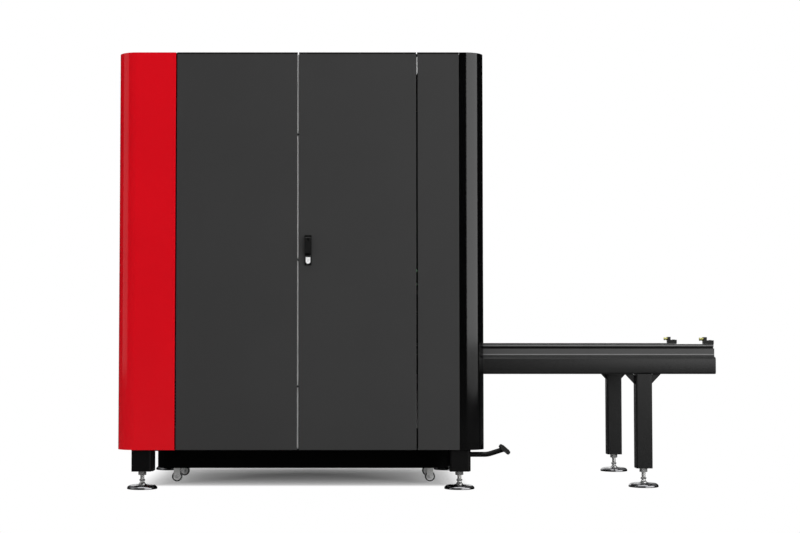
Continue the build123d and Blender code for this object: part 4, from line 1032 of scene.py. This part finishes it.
def studio_world():
    world = bpy.data.worlds.new("studio")
    bpy.context.scene.world = world
    world.use_nodes = True
    tree = world.node_tree
    tree.nodes.clear()
    path = tree.nodes.new("ShaderNodeLightPath").outputs
    coords = tree.nodes.new("ShaderNodeTexCoord")
    parts = axes(tree, coords.outputs["Generated"])
    seen = combine(tree, "MAXIMUM", path["Is Camera Ray"], path["Is Transmission Ray"])
    behind = spread(tree, parts["Y"], DARK_LEVEL, 1.0, BEHIND_FROM, BEHIND_TO)
    overhead = spread(tree, parts["Z"], DARK_LEVEL, OVERHEAD_LEVEL, OVERHEAD_FROM, OVERHEAD_TO)
    level = combine(tree, "MAXIMUM", combine(tree, "MAXIMUM", seen, behind), overhead)
    shown = combine(tree, "MAXIMUM", seen, path["Is Glossy Ray"])
    backdrop = background(tree)
    tree.links.new(level, backdrop.inputs["Strength"])
    fill = background(tree)
    fill.inputs["Strength"].default_value = FILL_LEVEL
    mix = tree.nodes.new("ShaderNodeMixShader")
    tree.links.new(shown, mix.inputs["Fac"])
    tree.links.new(fill.outputs["Background"], mix.inputs[1])
    tree.links.new(backdrop.outputs["Background"], mix.inputs[2])
    out = tree.nodes.new("ShaderNodeOutputWorld")
    tree.links.new(mix.outputs["Shader"], out.inputs["Surface"])


def floor_material():
    material, tree, shader = new_material("floor")
    shader.inputs["Roughness"].default_value = 0.9
    shader.inputs["Specular IOR Level"].default_value = 0.0
    path = tree.nodes.new("ShaderNodeLightPath").outputs
    pale = blend(tree, path["Is Glossy Ray"], FLOOR_PALE, FLOOR_MIRRORED)
    seen = combine(tree, "MAXIMUM", path["Is Camera Ray"], path["Is Transmission Ray"])
    parts = axes(tree, place_texture(tree, shift=(-MIDDLE * MM, 0, 0)))
    along = spread(tree, combine(tree, "ABSOLUTE", parts["X"]), 0, 1, 0, 1)
    across = spread(tree, parts["Y"], 0, 1, -GLOW_REACH, GLOW_REACH)
    # Painted shadow: these ramps set how dark the floor's shadow is under the machine
    shadow_shaping_glow = combine(tree, "MAXIMUM", grey_steps(tree, along, SHADOW_SHAPING_GLOW_ALONG), grey_steps(tree, across, SHADOW_SHAPING_GLOW_ACROSS))
    level = combine(tree, "MULTIPLY", seen, shadow_shaping_glow)
    tree.links.new(blend(tree, level, pale, BLACK), shader.inputs["Base Color"])
    shader.inputs["Emission Color"].default_value = WHITE
    tree.links.new(level, shader.inputs["Emission Strength"])
    return material


def studio_floor():
    mesh = bpy.data.meshes.new("floor")
    reach = FLOOR_REACH
    corners = [(-reach, -reach, 0), (reach, -reach, 0), (reach, reach, 0), (-reach, reach, 0)]
    mesh.from_pydata(corners, [], [(0, 1, 2, 3)])
    mesh.materials.append(floor_material())
    floor = add_object("floor", mesh)
    floor.location.z = -FLOOR_DROP


def softbox(name, place, target, width, height, level):
    data = bpy.data.lights.new(name, "AREA")
    data.shape = "RECTANGLE"
    data.size = width
    data.size_y = height
    data.energy = level * math.pi * width * height
    lamp = add_object(name, data)
    lamp.location = place
    aim = Vector(target) - Vector(place)
    lamp.rotation_euler = aim.to_track_quat("-Z", "Y").to_euler()
    lamp.visible_camera = False


def studio_lights():
    softbox("key", (4.10, -4.10, 2.19), (-0.2, -0.6, 2.19), 7.2, 3.12, 2.45)
    softbox("key_foot", (4.10, -4.10, 0.43), (-0.2, -0.6, 0.43), 7.2, 0.40, 0.9)
    softbox("left_strip", (-4.72, -1.28, 1.95), (-1.30, -0.55, 1.95), 2.5, 3.0, 0.52)
    softbox("top", (-0.2, -0.8, 5.4), (-0.2, -0.4, 0), 6.0, 5.0, 1.7)
    softbox("rear_fill", (-0.5, 5.5, 2.6), (-0.2, 0, 1.0), 5.0, 3.0, 1.0)


def studio_camera():
    data = bpy.data.cameras.new("camera")
    data.lens = CAMERA_LENS
    data.sensor_width = CAMERA_SENSOR
    data.shift_x = CAMERA_SHIFT
    camera = add_object("camera", data)
    camera.location = CAMERA_PLACE
    camera.rotation_euler = (math.pi / 2 + CAMERA_PITCH, 0, 0)
    bpy.context.scene.camera = camera


bpy.context.scene.view_settings.view_transform = "Standard"
dress_nodes()
for make in (levelling_studs, weld_beads, beam_caps, beam_tubes, pads, post_plates, seam_tabs, top_trims,
             edge_trims, stop_screws, bin_hem, caster_tyres, axle_nuts, pedal_trim, rear_louvres,
             quarter_turns, roof_screws, spigot_trim, screen_bezel, control_collars, window_gasket,
             grip_collars, lock_face, drive_details, breaker_details, controller_details, chiller_details,
             laser_details, gantry_details, head_details):
    make()
studio_world()
studio_floor()
studio_lights()
studio_camera()
